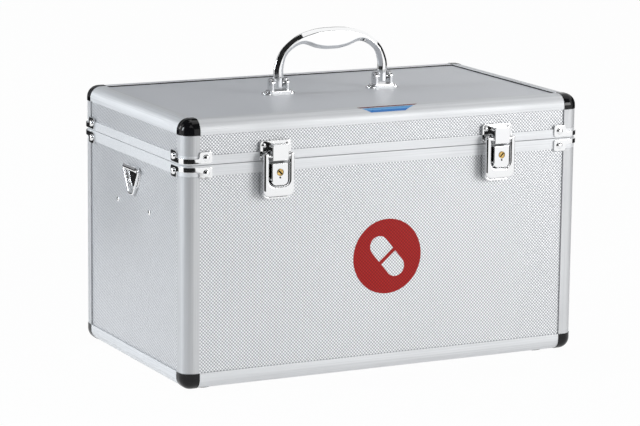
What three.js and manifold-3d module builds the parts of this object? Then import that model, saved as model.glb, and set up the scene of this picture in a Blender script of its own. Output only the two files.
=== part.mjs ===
// Lockable medicine case: panels held in edge extrusions, a hinged lid with a carrying handle,
// two hasp locks, two strap rings and a lift-out tray.
// Sizes are in millimetres. X runs along the front, Y to the rear and Z up. The feet stand at Z = 0.
import * as THREE from 'three';
import { mergeVertices } from 'three/addons/utils/BufferGeometryUtils.js';
import { RoundedBoxGeometry } from 'three/addons/geometries/RoundedBoxGeometry.js';
import Module from 'manifold-3d';

const wasm = await Module();
wasm.setup();

// Case
const caseWidth = 400;
const caseDepth = 230;
const caseHeight = 242;
const lidHeight = 40.2;
const splitHeight = caseHeight - lidHeight;
const splitGap = 0.5;
const edgeRadius = 10.5;
const innerRadius = 1.5;
const cutOverrun = 1;

// Edge extrusions, and the laminated panels that slide into their grooves
const profileWall = 1.3;
const panelThickness = 4.5;
const panelPlay = 0.2;
const panelFit = 0.1;
const flangeWidth = 15.5;
const bottomFlangeHeight = 15.2;
const topFlangeHeight = 13.5;
const grooveDepth = 7;
const panelFront = profileWall + panelFit;
const panelRear = panelFront + panelThickness;
const panelBack = panelRear + panelFit;
const profileDepth = panelBack + profileWall;
const panelStart = flangeWidth - grooveDepth;
const bottomPanelStart = bottomFlangeHeight - grooveDepth;
const skirtStart = topFlangeHeight - grooveDepth;
const sidePanelStart = Math.max(panelStart, edgeRadius);

// Rims on both sides of the joint line, with a tongue that enters a groove in the lid
const bodyRimHeight = 9.8;
const lidRimHeight = 8.2;
const bodyRimWeb = 2.5;
const tongueHeight = 2.2;
const tongueWidth = 1.2;
const tongueInset = 3;
const tonguePlay = 0.5;
const lidBottom = splitHeight + splitGap;
const lidRimTop = lidBottom + lidRimHeight;
const lidRimWeb = tongueHeight - splitGap + tonguePlay + profileWall;

// Black corner caps and feet
const capProud = 0.4;
const capCavityRadius = 8;
const footHeight = 3;
const footRadius = 12.5;
const footTaper = 1;
const footEdgeGap = 0.6;

// Corner braces beside the joint line
const seatGap = 0.2;
const braceThickness = 1.1;
const braceReach = 26.5;
const braceTabStart = 14;
const braceTabHeight = 10.5;
const braceBandHeight = 4.6;
const braceFillet = 2.4;
const braceEdgeGap = 1.2;

// Continuous hinge along the rear
const hingeEndGap = 30;
const hingeLength = caseWidth - 2 * hingeEndGap;
const knuckleRadius = 3;
const knucklePitch = 20;
const knuckleGap = 0.4;
const hingePinRadius = 1.2;
const hingePinPlay = 0.25;
const leafThickness = 1.2;
const leafHeight = 11;
const hingeClearance = 0.4;

// Hasp locks
const latchSpacing = 224.6;
const latchPlate = 1.5;
const keeperWidth = 31;
const keeperHeight = 16.8;
const keeperRadius = 3;
const keeperGap = 1.5;
const humpWidth = 15.8;
const humpRadius = 2.4;
const humpBevel = 0.9;
const keeperHumpHeight = 15;
const keeperHumpProud = 12;
const haspAxisProud = 8;
const haspAxisHeight = 5.7;
const haspRodRadius = 2;
const haspRodPlay = 0.4;
const haspThickness = 4;
const haspWidth = 30.4;
const haspWindowWidth = 19.4;
const haspTopReach = 2.8;
const haspDrop = 36.8;
const haspBarHeight = 9.6;
const haspBottomRadius = 6;
const haspWindowRadius = 5;
const haspBevel = 0.9;
const lockHumpHeight = 20.4;
const lockHumpProud = 11;
const lockHumpGap = 0.2;
const lockBottomRadius = 4;
const basePlateWidth = 28.4;
const basePlateTop = 1.8;
const basePlateHeight = 31.7;
const baseRadius = 6;
const baseWall = 1.5;
const baseWallProud = 5.6;

// Lock cylinders
const cylinderRadius = 3.2;
const cylinderPlay = 0.3;
const cylinderDrop = 9.1;
const cylinderProud = 0.3;
const camReach = 5.2;
const camWidth = 4;
const camThickness = 1.6;
const camPlay = 0.4;
const camChamberRadius = 6;
const keySlotWidth = 1;
const keySlotLength = 4.8;
const keySlotDepth = 2;

// Carrying handle and its brackets
const handleSpread = 108;
const bracketWidth = 32;
const bracketDepth = 13;
const bracketPlate = 2.5;
const bracketRadius = 5;
const earThickness = 3;
const earRadius = 4.5;
const earPlay = 0.5;
const handleAxisHeight = 10.8;
const handlePinRadius = 2;
const handlePinPlay = 0.3;
const handleLegWidth = 10;
const handleThickness = 8;
const handleEnd = 4;
const handleRise = 49;
const handleShoulder = 5;
const handleBevel = 2.4;
const archRoundShare = 0.87;
const waveShares = [[1, 0.3], [0.91, 0.54], [0.63, 0.705], [0.32, 0.64], [0, 0.585]];

// Strap rings on both sides
const strapDrop = 19.8;
const strapHeight = splitHeight - strapDrop;
const strapPlateTop = 33;
const strapPlateBottom = 24;
const strapPlateDrop = 17;
const strapPlateThickness = 1.2;
const strapPlateRadius = 3;
const barrelWall = 0.9;
const ringWire = 2.4;
const ringPlay = 0.5;
const ringBevel = 0.7;
const ringTopWidth = 38;
const ringBottomWidth = 11;
const ringDrop = 26;
const ringTopRadius = 2.2;
const ringBottomRadius = 2.6;
const ringBoreRadius = ringWire / 2 + ringPlay;
const barrelRadius = ringBoreRadius + barrelWall;
const ringTaper = (ringTopWidth - ringBottomWidth) / ringDrop;
const ringLegWidth = ringWire * Math.hypot(1, ringTaper / 2);
const barrelDepth = ringWire / 2 + barrelRadius;
const barrelLength = ringTopWidth - ringTaper * barrelDepth - 2 * (ringLegWidth + ringPlay);

// Lift-out tray and the ledges that carry it
const ledgeDrop = 12;
const ledgeReach = 11;
const ledgeThickness = 1.5;
const ledgeEndGap = 16;
const trayPlay = 3;
const traySeat = 0.3;
const trayDepth = 40;
const trayTopGap = 8.5;
const trayWall = 2;
const ledgeHeight = splitHeight - trayTopGap - trayDepth - traySeat;
const trayLip = 2.5;
const trayLipHeight = 2.5;
const trayRadius = 8;
const trayDividerDrop = 4;
const trayRowShare = 0.46;
const trayColumnShares = [0.25, 0.5, 0.75];

const arcSteps = 3;
const archSteps = 22;
const roundSides = 14;
const rightAngle = Math.PI / 2;

// Finishes
const satinAluminium = { color: 0xd6d8da, roughness: 0.34, metalness: 0.9 };
const embossedSheet = { color: 0xe2e4e6, roughness: 0.4, metalness: 0.75 };
const smoothSheet = { color: 0xc4c6cb, roughness: 0.45, metalness: 0.6 };
const chrome = { color: 0xe8eaec, roughness: 0.1, metalness: 1 };
const brass = { color: 0xc9a862, roughness: 0.3, metalness: 1 };
const blackPlastic = { color: 0x0c0c0d, roughness: 0.25, metalness: 0 };
const blackRubber = { color: 0x161616, roughness: 0.8, metalness: 0 };
const greyPlastic = { color: 0xd9dbdc, roughness: 0.5, metalness: 0 };

const corners = [
  { name: 'front_left', x: -1, y: -1, turn: 0 },
  { name: 'front_right', x: 1, y: -1, turn: rightAngle },
  { name: 'rear_right', x: 1, y: 1, turn: Math.PI },
  { name: 'rear_left', x: -1, y: 1, turn: -rightAngle },
];

const sides = [
  { name: 'front', x: 0, y: -1, turn: 0, length: caseWidth, carriesTray: false },
  { name: 'right', x: 1, y: 0, turn: rightAngle, length: caseDepth, carriesTray: true },
  { name: 'rear', x: 0, y: 1, turn: Math.PI, length: caseWidth, carriesTray: false },
  { name: 'left', x: -1, y: 0, turn: -rightAngle, length: caseDepth, carriesTray: true },
];

// Solids from geometries, and back
function solidOf(geometry) {
  const bare = geometry.clone();
  bare.deleteAttribute('normal');
  bare.deleteAttribute('uv');
  const merged = mergeVertices(bare);
  return new wasm.Manifold(new wasm.Mesh({
    numProp: 3,
    vertProperties: new Float32Array(merged.attributes.position.array),
    triVerts: new Uint32Array(merged.index.array),
  }));
}

function geometryOf(solid) {
  const mesh = solid.getMesh();
  const geometry = new THREE.BufferGeometry();
  geometry.setAttribute('position', new THREE.BufferAttribute(mesh.vertProperties, 3));
  geometry.setIndex(new THREE.BufferAttribute(mesh.triVerts, 1));
  geometry.computeVertexNormals();
  return geometry;
}

function joined(first, ...others) {
  return geometryOf(others.reduce((solid, other) => solid.add(solidOf(other)), solidOf(first)));
}

function cut(first, ...tools) {
  return geometryOf(tools.reduce((solid, tool) => solid.subtract(solidOf(tool)), solidOf(first)));
}

function overlapOf(first, second) {
  return geometryOf(solidOf(first).intersect(solidOf(second)));
}

// Basic forms
function block(low, high) {
  const size = high.map((value, axis) => value - low[axis]);
  const middle = high.map((value, axis) => (value + low[axis]) / 2);
  return new THREE.BoxGeometry(...size).translate(...middle);
}

function rod(radius, length) {
  return new THREE.CylinderGeometry(radius, radius, length, roundSides);
}

function rodAlongX(radius, length) {
  return rod(radius, length).rotateZ(rightAngle);
}

function extruded(shape, depth) {
  return new THREE.ExtrudeGeometry(shape, { depth, bevelEnabled: false, curveSegments: arcSteps });
}

// An extrusion whose long edges are rounded over, no wider than its outline
function softened(shape, thickness, bevel, steps) {
  return new THREE.ExtrudeGeometry(shape, {
    depth: thickness - 2 * bevel,
    bevelEnabled: true,
    bevelThickness: bevel,
    bevelSize: bevel,
    bevelOffset: -bevel,
    bevelSegments: steps,
    curveSegments: arcSteps,
  }).translate(0, 0, bevel);
}

// Lays a form so that its own x and y run along two given axes
function laid(geometry, xAxis, yAxis) {
  const xDirection = new THREE.Vector3(...xAxis);
  const yDirection = new THREE.Vector3(...yAxis);
  const zDirection = xDirection.clone().cross(yDirection);
  return geometry.applyMatrix4(new THREE.Matrix4().makeBasis(xDirection, yDirection, zDirection));
}

// Stands a form drawn in x and y upright, facing the front, with its depth running forward
function facingFront(geometry) {
  return laid(geometry, [1, 0, 0], [0, 0, 1]);
}

function roundedOutline(width, height, radii) {
  const [topLeft, topRight, bottomRight, bottomLeft] = radii;
  const outline = new THREE.Shape();
  const right = width / 2;
  const top = height / 2;
  outline.moveTo(-right + bottomLeft, -top);
  outline.lineTo(right - bottomRight, -top);
  outline.absarc(right - bottomRight, -top + bottomRight, bottomRight, -rightAngle, 0);
  outline.lineTo(right, top - topRight);
  outline.absarc(right - topRight, top - topRight, topRight, 0, rightAngle);
  outline.lineTo(-right + topLeft, top);
  outline.absarc(-right + topLeft, top - topLeft, topLeft, rightAngle, Math.PI);
  outline.lineTo(-right, -top + bottomLeft);
  outline.absarc(-right + bottomLeft, -top + bottomLeft, bottomLeft, Math.PI, 3 * rightAngle);
  return outline;
}

function evenOutline(width, height, radius) {
  return roundedOutline(width, height, [radius, radius, radius, radius]);
}

function planOutline(inset) {
  const radius = Math.max(edgeRadius - inset, innerRadius);
  return evenOutline(caseWidth - 2 * inset, caseDepth - 2 * inset, radius);
}

// A band that runs all round the case between two insets and two heights
function planBand(outerInset, innerInset, low, high) {
  const band = planOutline(outerInset);
  band.holes.push(planOutline(innerInset));
  return extruded(band, high - low).translate(0, 0, low);
}

// Section of an edge extrusion: two flanges, a rounded outer corner and a groove along each flange
function profileSection(flangeAlong, flangeAcross) {
  const section = new THREE.Shape();
  section.moveTo(flangeAlong, 0);
  section.lineTo(flangeAlong, profileWall);
  section.lineTo(flangeAlong - grooveDepth, profileWall);
  section.lineTo(flangeAlong - grooveDepth, panelBack);
  section.lineTo(flangeAlong, panelBack);
  section.lineTo(flangeAlong, profileDepth);
  section.lineTo(profileDepth, profileDepth);
  section.lineTo(profileDepth, flangeAcross);
  section.lineTo(panelBack, flangeAcross);
  section.lineTo(panelBack, flangeAcross - grooveDepth);
  section.lineTo(profileWall, flangeAcross - grooveDepth);
  section.lineTo(profileWall, flangeAcross);
  section.lineTo(0, flangeAcross);
  section.lineTo(0, edgeRadius);
  section.absarc(edgeRadius, edgeRadius, edgeRadius, Math.PI, 3 * rightAngle);
  return section;
}

function addPiece(group, name, geometry, finish, position = [0, 0, 0], turn = 0) {
  const piece = new THREE.Mesh(geometry, new THREE.MeshStandardMaterial(finish));
  piece.name = name;
  piece.position.set(...position);
  piece.rotation.z = turn;
  group.add(piece);
}

// Side and bottom panels
function sidePanel(side) {
  const end = side.length / 2 - sidePanelStart - panelPlay;
  const low = bottomPanelStart + panelPlay;
  const high = splitHeight - bodyRimWeb - panelPlay;
  const panel = block([-end, panelFront, low], [end, panelRear, high]);
  if (!side.carriesTray) {
    return panel;
  }
  const ledgeEnd = side.length / 2 - profileDepth - ledgeEndGap;
  const upright = block(
    [-ledgeEnd, panelFront, ledgeHeight - ledgeDrop],
    [ledgeEnd, panelRear + ledgeThickness, ledgeHeight],
  );
  const shelf = block(
    [-ledgeEnd, panelFront, ledgeHeight - ledgeThickness],
    [ledgeEnd, panelRear + ledgeReach, ledgeHeight],
  );
  return joined(panel, upright, shelf);
}

function bottomPanel() {
  const x = caseWidth / 2 - panelStart - panelPlay;
  const y = caseDepth / 2 - panelStart - panelPlay;
  return block([-x, -y, panelFront], [x, y, panelRear]);
}

// Straight extrusions between the corner caps
function cornerPost() {
  const section = profileSection(flangeWidth, flangeWidth);
  return extruded(section, splitHeight - bodyRimHeight - bottomFlangeHeight);
}

function bottomEdge(side) {
  const length = side.length - 2 * flangeWidth;
  const edge = extruded(profileSection(flangeWidth, bottomFlangeHeight), length);
  return laid(edge, [0, 1, 0], [0, 0, 1]).translate(-length / 2, 0, 0);
}

function topEdge(side) {
  const length = side.length - 2 * flangeWidth;
  const edge = extruded(profileSection(flangeWidth, topFlangeHeight), length);
  return laid(edge, [0, 1, 0], [0, 0, -1]).translate(length / 2, 0, 0);
}

// Rims of body and lid
function bodyRim() {
  const low = splitHeight - bodyRimHeight;
  return joined(
    planBand(0, profileWall, low, splitHeight),
    planBand(panelBack, profileDepth, low, splitHeight),
    planBand(0, profileDepth, splitHeight - bodyRimWeb, splitHeight),
    planBand(
      tongueInset,
      tongueInset + tongueWidth,
      splitHeight - bodyRimWeb,
      splitHeight + tongueHeight,
    ),
  );
}

// The lid rim carries the short uprights that close the lid's corners between brace and cap
function lidRim() {
  const uprightTop = caseHeight - topFlangeHeight;
  const wholeBand = planBand(0, profileWall, lidRimTop - cutOverrun, uprightTop);
  const acrossX = caseWidth / 2 - flangeWidth;
  const acrossY = caseDepth / 2 - flangeWidth;
  const uprights = cut(
    wholeBand,
    block([-acrossX, -caseDepth, 0], [acrossX, caseDepth, caseHeight]),
    block([-caseWidth, -acrossY, 0], [caseWidth, acrossY, caseHeight]),
  );
  const rim = joined(
    planBand(0, profileWall, lidBottom, lidRimTop),
    planBand(panelBack, profileDepth, lidBottom, lidRimTop),
    planBand(0, profileDepth, lidBottom, lidBottom + lidRimWeb),
    uprights,
  );
  return cut(rim, planBand(
    tongueInset - tonguePlay,
    tongueInset + tongueWidth + tonguePlay,
    lidBottom - cutOverrun,
    splitHeight + tongueHeight + tonguePlay,
  ));
}

function lidSkirt() {
  const high = caseHeight - skirtStart - panelPlay;
  return planBand(panelFront, panelRear, lidBottom + lidRimWeb + panelFit, high);
}

function lidTopPanel() {
  const x = caseWidth / 2 - panelStart - panelPlay;
  const y = caseDepth / 2 - panelStart - panelPlay;
  return block([-x, -y, caseHeight - panelRear], [x, y, caseHeight - panelFront]);
}

// Ball corners, drawn from the outer corner inwards along x, y and z
function capBlank(height) {
  const size = 4 * Math.max(flangeWidth, height);
  const radius = edgeRadius + capProud;
  const ball = new RoundedBoxGeometry(size, size, size, arcSteps, radius);
  ball.translate(size / 2 - capProud, size / 2 - capProud, size / 2 - capProud);
  const reach = [flangeWidth, flangeWidth, height];
  return overlapOf(ball, block([-cutOverrun, -cutOverrun, -cutOverrun], reach));
}

function bottomCap() {
  const far = caseDepth / 2;
  return cut(
    capBlank(bottomFlangeHeight),
    block([panelStart, profileWall, bottomPanelStart], [far, panelBack, far]),
    block([profileWall, panelStart, bottomPanelStart], [panelBack, far, far]),
    block([panelStart, panelStart, profileWall], [far, far, panelBack]),
    block([profileDepth, profileDepth, profileDepth], [far, far, far]),
  );
}

function topCap() {
  const far = caseDepth / 2;
  const span = far - profileWall;
  const cavity = extruded(evenOutline(span, span, capCavityRadius), far);
  cavity.translate(profileWall + span / 2, profileWall + span / 2, skirtStart);
  const cap = cut(
    capBlank(topFlangeHeight),
    cavity,
    block([panelStart, panelStart, profileWall], [far, far, panelBack]),
    block([profileDepth, profileDepth, profileDepth], [far, far, far]),
  );
  return laid(cap, [0, 1, 0], [1, 0, 0]);
}

function foot() {
  const top = footHeight + panelFront;
  const profile = [
    new THREE.Vector2(0, 0),
    new THREE.Vector2(footRadius - footTaper, 0),
    new THREE.Vector2(footRadius, footHeight),
    new THREE.Vector2(footRadius, top),
    new THREE.Vector2(0, top),
  ];
  return new THREE.LatheGeometry(profile, roundSides).rotateX(rightAngle);
}

// A stamped brace round one corner: a narrow band that widens into a tab on each face
function cornerBrace() {
  const inner = -seatGap;
  const outer = -seatGap - braceThickness;
  const strip = new THREE.Shape();
  strip.moveTo(braceReach, inner);
  strip.lineTo(edgeRadius, inner);
  strip.absarc(edgeRadius, edgeRadius, edgeRadius - inner, -rightAngle, -Math.PI, true);
  strip.lineTo(inner, braceReach);
  strip.lineTo(outer, braceReach);
  strip.lineTo(outer, edgeRadius);
  strip.absarc(edgeRadius, edgeRadius, edgeRadius - outer, Math.PI, 3 * rightAngle);
  strip.lineTo(braceReach, outer);
  const spare = braceTabHeight;
  const size = 2 * braceTabStart;
  const notch = new RoundedBoxGeometry(size, size, braceTabHeight + spare, arcSteps, braceFillet);
  notch.translate(0, 0, braceBandHeight + (braceTabHeight + spare) / 2);
  return cut(extruded(strip, braceTabHeight), notch);
}

// Hinge leaves: every second knuckle belongs to the same leaf, and a tab ties it to the plate
function hingeLeaf(first, up) {
  const count = 2 * Math.floor(hingeLength / knucklePitch / 2) + 1;
  const pitch = hingeLength / count;
  const axisOut = knuckleRadius + hingeClearance;
  const plateLow = knuckleRadius + hingeClearance;
  const half = hingeLength / 2;
  const back = -axisOut;
  const plate = block(
    [-half, back, plateLow],
    [half, back + leafThickness, plateLow + leafHeight],
  );
  const parts = [];
  for (let index = first; index < count; index += 2) {
    const low = -half + index * pitch + knuckleGap / 2;
    const high = low + pitch - knuckleGap;
    parts.push(rodAlongX(knuckleRadius, high - low).translate((low + high) / 2, 0, 0));
    parts.push(block([low, back, 0], [high, back + leafThickness, plateLow + cutOverrun]));
  }
  const bore = rodAlongX(hingePinRadius + hingePinPlay, hingeLength + 2 * cutOverrun);
  const leaf = cut(joined(plate, ...parts), bore);
  return up ? leaf : leaf.rotateY(Math.PI);
}

// Lid half of a hasp lock: a riveted plate with the hump that the hasp turns in
function latchKeeper() {
  const plateRadii = [keeperRadius, keeperRadius, keeperRadius / 2, keeperRadius / 2];
  const plateOutline = roundedOutline(keeperWidth, keeperHeight, plateRadii);
  const middle = keeperGap + keeperHeight / 2;
  const plate = facingFront(extruded(plateOutline, latchPlate)).translate(0, 0, middle);
  const padLow = lidRimHeight + splitGap + panelPlay;
  const padHigh = keeperGap + keeperHeight - keeperRadius;
  const padX = keeperWidth / 2 - keeperRadius;
  const pad = block([-padX, -latchPlate / 2, padLow], [padX, panelFront, padHigh]);
  const humpOutline = evenOutline(humpWidth, keeperHumpHeight, humpRadius);
  const hump = facingFront(softened(humpOutline, keeperHumpProud, humpBevel, 2));
  hump.translate(0, 0, keeperGap + keeperHumpHeight / 2);
  const bore = rodAlongX(haspRodRadius + haspRodPlay, humpWidth + 2 * cutOverrun);
  bore.translate(0, -haspAxisProud, haspAxisHeight);
  return cut(joined(plate, pad, hump), bore);
}

// The hasp: two arms and a broad lower bar, hung on a round rod through the keeper's hump
function latchHasp() {
  const outer = haspWidth / 2;
  const inner = haspWindowWidth / 2;
  const bottom = -haspDrop;
  const sill = bottom + haspBarHeight;
  const armWidth = outer - inner;
  const armMiddle = (outer + inner) / 2;
  const turnX = outer - haspBottomRadius;
  const turnZ = bottom + haspBottomRadius;
  const windowX = inner - haspWindowRadius;
  const windowZ = sill + haspWindowRadius;
  const outline = new THREE.Shape();
  outline.moveTo(-turnX, bottom);
  outline.lineTo(turnX, bottom);
  outline.absarc(turnX, turnZ, haspBottomRadius, -rightAngle, 0);
  outline.lineTo(outer, 0);
  outline.absellipse(armMiddle, 0, armWidth / 2, haspTopReach, 0, Math.PI);
  outline.lineTo(inner, windowZ);
  outline.absarc(windowX, windowZ, haspWindowRadius, 0, -rightAngle, true);
  outline.lineTo(-windowX, sill);
  outline.absarc(-windowX, windowZ, haspWindowRadius, -rightAngle, -Math.PI, true);
  outline.lineTo(-inner, 0);
  outline.absellipse(-armMiddle, 0, armWidth / 2, haspTopReach, 0, Math.PI);
  outline.lineTo(-outer, turnZ);
  outline.absarc(-turnX, turnZ, haspBottomRadius, Math.PI, 3 * rightAngle);
  const frame = facingFront(softened(outline, haspThickness, haspBevel, 2));
  frame.translate(0, haspThickness / 2, 0);
  return joined(frame, rodAlongX(haspRodRadius, haspWindowWidth + armWidth));
}

// Body half of a hasp lock: a dished base and the lock housing that stands through the hasp
function latchBase() {
  const baseRadii = [baseRadius / 2, baseRadius / 2, baseRadius, baseRadius];
  const outline = roundedOutline(basePlateWidth, basePlateHeight, baseRadii);
  const middle = -basePlateTop - basePlateHeight / 2;
  const plate = facingFront(extruded(outline, latchPlate)).translate(0, 0, middle);
  const wallOutline = roundedOutline(basePlateWidth, basePlateHeight, baseRadii);
  const innerRadii = baseRadii.map((radius) => radius - baseWall);
  const innerWidth = basePlateWidth - 2 * baseWall;
  wallOutline.holes.push(roundedOutline(innerWidth, basePlateHeight - 2 * baseWall, innerRadii));
  const wall = facingFront(extruded(wallOutline, baseWallProud)).translate(0, 0, middle);
  const openTop = block(
    [-innerWidth / 2, -keeperHumpProud, -basePlateTop - baseWall - baseRadius / 2],
    [innerWidth / 2, -latchPlate, 0],
  );
  const padX = basePlateWidth / 2 - baseRadius;
  const padLow = -basePlateTop - basePlateHeight + baseRadius;
  const padHigh = -bodyRimHeight - panelPlay;
  const pad = block([-padX, -latchPlate / 2, padLow], [padX, panelFront, padHigh]);
  const humpRadii = [humpRadius / 2, humpRadius / 2, lockBottomRadius, lockBottomRadius];
  const humpOutline = roundedOutline(humpWidth, lockHumpHeight, humpRadii);
  const hump = facingFront(softened(humpOutline, lockHumpProud, humpBevel, 2));
  hump.translate(0, 0, -lockHumpGap - lockHumpHeight / 2);
  const bore = rod(cylinderRadius + cylinderPlay, lockHumpProud);
  bore.translate(0, -latchPlate - lockHumpProud / 2, -cylinderDrop);
  const chamberDepth = camThickness + 2 * camPlay;
  const chamber = rod(camChamberRadius, chamberDepth);
  chamber.translate(0, -latchPlate - chamberDepth / 2, -cylinderDrop);
  return cut(joined(cut(joined(plate, wall), openTop), pad, hump), bore, chamber);
}

// Key cylinder, drawn on its own axis with the front face forward
function lockCylinder() {
  const back = -latchPlate - camPlay;
  const face = -lockHumpProud - cylinderProud;
  const barrel = rod(cylinderRadius, back - face).translate(0, (back + face) / 2, 0);
  const cam = block(
    [-camWidth / 2, back - camThickness, -camReach],
    [camWidth / 2, back, 0],
  );
  const slot = block(
    [-keySlotWidth / 2, face - cutOverrun, -keySlotLength / 2],
    [keySlotWidth / 2, face + keySlotDepth, keySlotLength / 2],
  );
  slot.rotateY(-rightAngle / 2);
  return cut(joined(barrel, cam), slot);
}

// Handle bracket on the lid: a plate with two ears and the pin between them
function handleBracket() {
  const plateOutline = evenOutline(bracketWidth, bracketDepth, bracketRadius);
  const plate = softened(plateOutline, bracketPlate, bracketPlate / 4, 1);
  const ear = new THREE.Shape();
  ear.moveTo(-earRadius, bracketPlate / 2);
  ear.lineTo(earRadius, bracketPlate / 2);
  ear.lineTo(earRadius, handleAxisHeight);
  ear.absarc(0, handleAxisHeight, earRadius, 0, Math.PI);
  const innerFace = handleLegWidth / 2 + earPlay;
  const ears = [-innerFace - earThickness, innerFace].map(
    (x) => laid(extruded(ear, earThickness), [0, 1, 0], [0, 0, 1]).translate(x, 0, 0),
  );
  const pin = rodAlongX(handlePinRadius, 2 * innerFace + earThickness);
  pin.translate(0, 0, handleAxisHeight);
  return joined(plate, ...ears, pin);
}

// Handle, drawn about the axis of its pins: a squarish arch outside and a finger wave inside
function carryingHandle() {
  const outer = (handleSpread + handleLegWidth) / 2;
  const inner = (handleSpread - handleLegWidth) / 2;
  const outline = new THREE.Shape();
  outline.moveTo(outer, -handleEnd);
  for (let step = 0; step <= archSteps; step += 1) {
    const angle = Math.PI * step / archSteps;
    const across = Math.abs(Math.cos(angle)) ** archRoundShare * Math.sign(Math.cos(angle));
    const up = Math.abs(Math.sin(angle)) ** archRoundShare;
    outline.lineTo(outer * across, handleShoulder + (handleRise - handleShoulder) * up);
  }
  outline.lineTo(-outer, -handleEnd);
  outline.lineTo(-inner, -handleEnd);
  const leftWave = waveShares.map(([x, z]) => new THREE.Vector2(-inner * x, handleRise * z));
  const rightWave = waveShares.slice(0, -1).reverse();
  const rightPoints = rightWave.map(([x, z]) => new THREE.Vector2(inner * x, handleRise * z));
  outline.lineTo(leftWave[0].x, leftWave[0].y);
  outline.splineThru([...leftWave.slice(1), ...rightPoints]);
  outline.lineTo(inner, -handleEnd);
  const arch = facingFront(softened(outline, handleThickness, handleBevel, 3));
  arch.translate(0, handleThickness / 2, 0);
  return cut(arch, rodAlongX(handlePinRadius + handlePinPlay, 2 * outer + cutOverrun));
}

// A trapezoid with rounded corners, its top edge at height zero
function trapezoid(topWidth, bottomWidth, drop, topRadius, bottomRadius) {
  const points = [
    [topWidth / 2, 0, topRadius],
    [-topWidth / 2, 0, topRadius],
    [-bottomWidth / 2, -drop, bottomRadius],
    [bottomWidth / 2, -drop, bottomRadius],
  ];
  const outline = new THREE.Shape();
  points.forEach(([x, y, radius], index) => {
    const here = new THREE.Vector2(x, y);
    const before = new THREE.Vector2(...points[(index + 3) % 4]);
    const after = new THREE.Vector2(...points[(index + 1) % 4]);
    const entry = before.sub(here).setLength(radius).add(here);
    const exit = after.sub(here).setLength(radius).add(here);
    if (index === 0) {
      outline.moveTo(entry.x, entry.y);
    } else {
      outline.lineTo(entry.x, entry.y);
    }
    outline.quadraticCurveTo(x, y, exit.x, exit.y);
  });
  outline.closePath();
  return outline;
}

// Strap plate: a tapered plate whose upper edge is curled into a barrel for the ring
function strapPlate() {
  const outline = trapezoid(
    strapPlateTop,
    strapPlateBottom,
    strapPlateDrop,
    strapPlateRadius / 2,
    strapPlateRadius,
  );
  const plate = facingFront(extruded(outline, strapPlateThickness));
  const clearance = 2 * (ringWire + ringPlay) + barrelLength;
  const slot = block(
    [-clearance, -2 * barrelRadius, -barrelRadius],
    [clearance, barrelRadius, barrelRadius],
  );
  const curl = rodAlongX(barrelRadius, barrelLength).translate(0, -barrelRadius, 0);
  const neck = block(
    [-barrelLength / 2, -strapPlateThickness, -barrelRadius - cutOverrun],
    [barrelLength / 2, 0, 0],
  );
  const bore = rodAlongX(ringBoreRadius, barrelLength + 2 * cutOverrun);
  bore.translate(0, -barrelRadius, 0);
  return cut(joined(cut(plate, slot), curl, neck), bore);
}

// Strap ring, drawn about the axis of its upper bar
function strapRing() {
  const half = ringWire / 2;
  const outline = trapezoid(ringTopWidth, ringBottomWidth, ringDrop, ringTopRadius, ringBottomRadius);
  const topInside = ringTopWidth - ringTaper * ringWire - 2 * ringLegWidth;
  const bottomInside = ringBottomWidth + ringTaper * ringWire - 2 * ringLegWidth;
  const hole = trapezoid(
    topInside,
    bottomInside,
    ringDrop - 2 * ringWire,
    ringTopRadius / 2,
    ringBottomRadius / 2,
  );
  const holePoints = hole.getPoints(arcSteps).map((point) => point.setY(point.y - ringWire));
  outline.holes.push(new THREE.Path(holePoints));
  return facingFront(softened(outline, ringWire, ringBevel, 1)).translate(0, half, half);
}

// Lift-out tray with one long divider and short ones in its front row
function tray() {
  const width = caseWidth - 2 * (profileDepth + trayPlay);
  const depth = caseDepth - 2 * (profileDepth + trayPlay);
  const innerWidth = width - 2 * (trayLip + trayWall);
  const innerDepth = depth - 2 * (trayLip + trayWall);
  const lipOutline = evenOutline(width, depth, trayRadius + trayLip);
  const outerOutline = evenOutline(width - 2 * trayLip, depth - 2 * trayLip, trayRadius);
  const innerOutline = evenOutline(innerWidth, innerDepth, trayRadius - trayWall);
  const outer = extruded(outerOutline, trayDepth);
  const lip = extruded(lipOutline, trayLipHeight).translate(0, 0, trayDepth - trayLipHeight);
  const room = extruded(innerOutline, trayDepth).translate(0, 0, trayWall);
  const dividerTop = trayDepth - trayDividerDrop;
  const rowY = -innerDepth / 2 + innerDepth * trayRowShare;
  const long = block(
    [-innerWidth / 2 - trayWall / 2, rowY - trayWall / 2, trayWall / 2],
    [innerWidth / 2 + trayWall / 2, rowY + trayWall / 2, dividerTop],
  );
  const short = trayColumnShares.map((share) => {
    const x = -innerWidth / 2 + innerWidth * share;
    return block(
      [x - trayWall / 2, -innerDepth / 2 - trayWall / 2, trayWall / 2],
      [x + trayWall / 2, rowY, dividerTop],
    );
  });
  return joined(cut(joined(outer, lip), room), long, ...short);
}

// Fixed body
const body = new THREE.Group();
const bodyPost = cornerPost();
const lowerBrace = cornerBrace().rotateX(Math.PI).rotateZ(rightAngle);
const lowerCap = bottomCap();
const rubberFoot = foot();
const footInset = flangeWidth + footEdgeGap + footRadius;
for (const { name, x, y, turn } of corners) {
  const [cornerX, cornerY] = [x * caseWidth / 2, y * caseDepth / 2];
  const footPlace = [cornerX - x * footInset, cornerY - y * footInset, -footHeight];
  const postPlace = [cornerX, cornerY, bottomFlangeHeight];
  const bracePlace = [cornerX, cornerY, splitHeight - braceEdgeGap];
  addPiece(body, `corner_post_${name}`, bodyPost, satinAluminium, postPlace, turn);
  addPiece(body, `bottom_cap_${name}`, lowerCap, blackPlastic, [cornerX, cornerY, 0], turn);
  addPiece(body, `lower_brace_${name}`, lowerBrace, chrome, bracePlace, turn);
  addPiece(body, `foot_${name}`, rubberFoot, blackRubber, footPlace);
}
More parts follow.
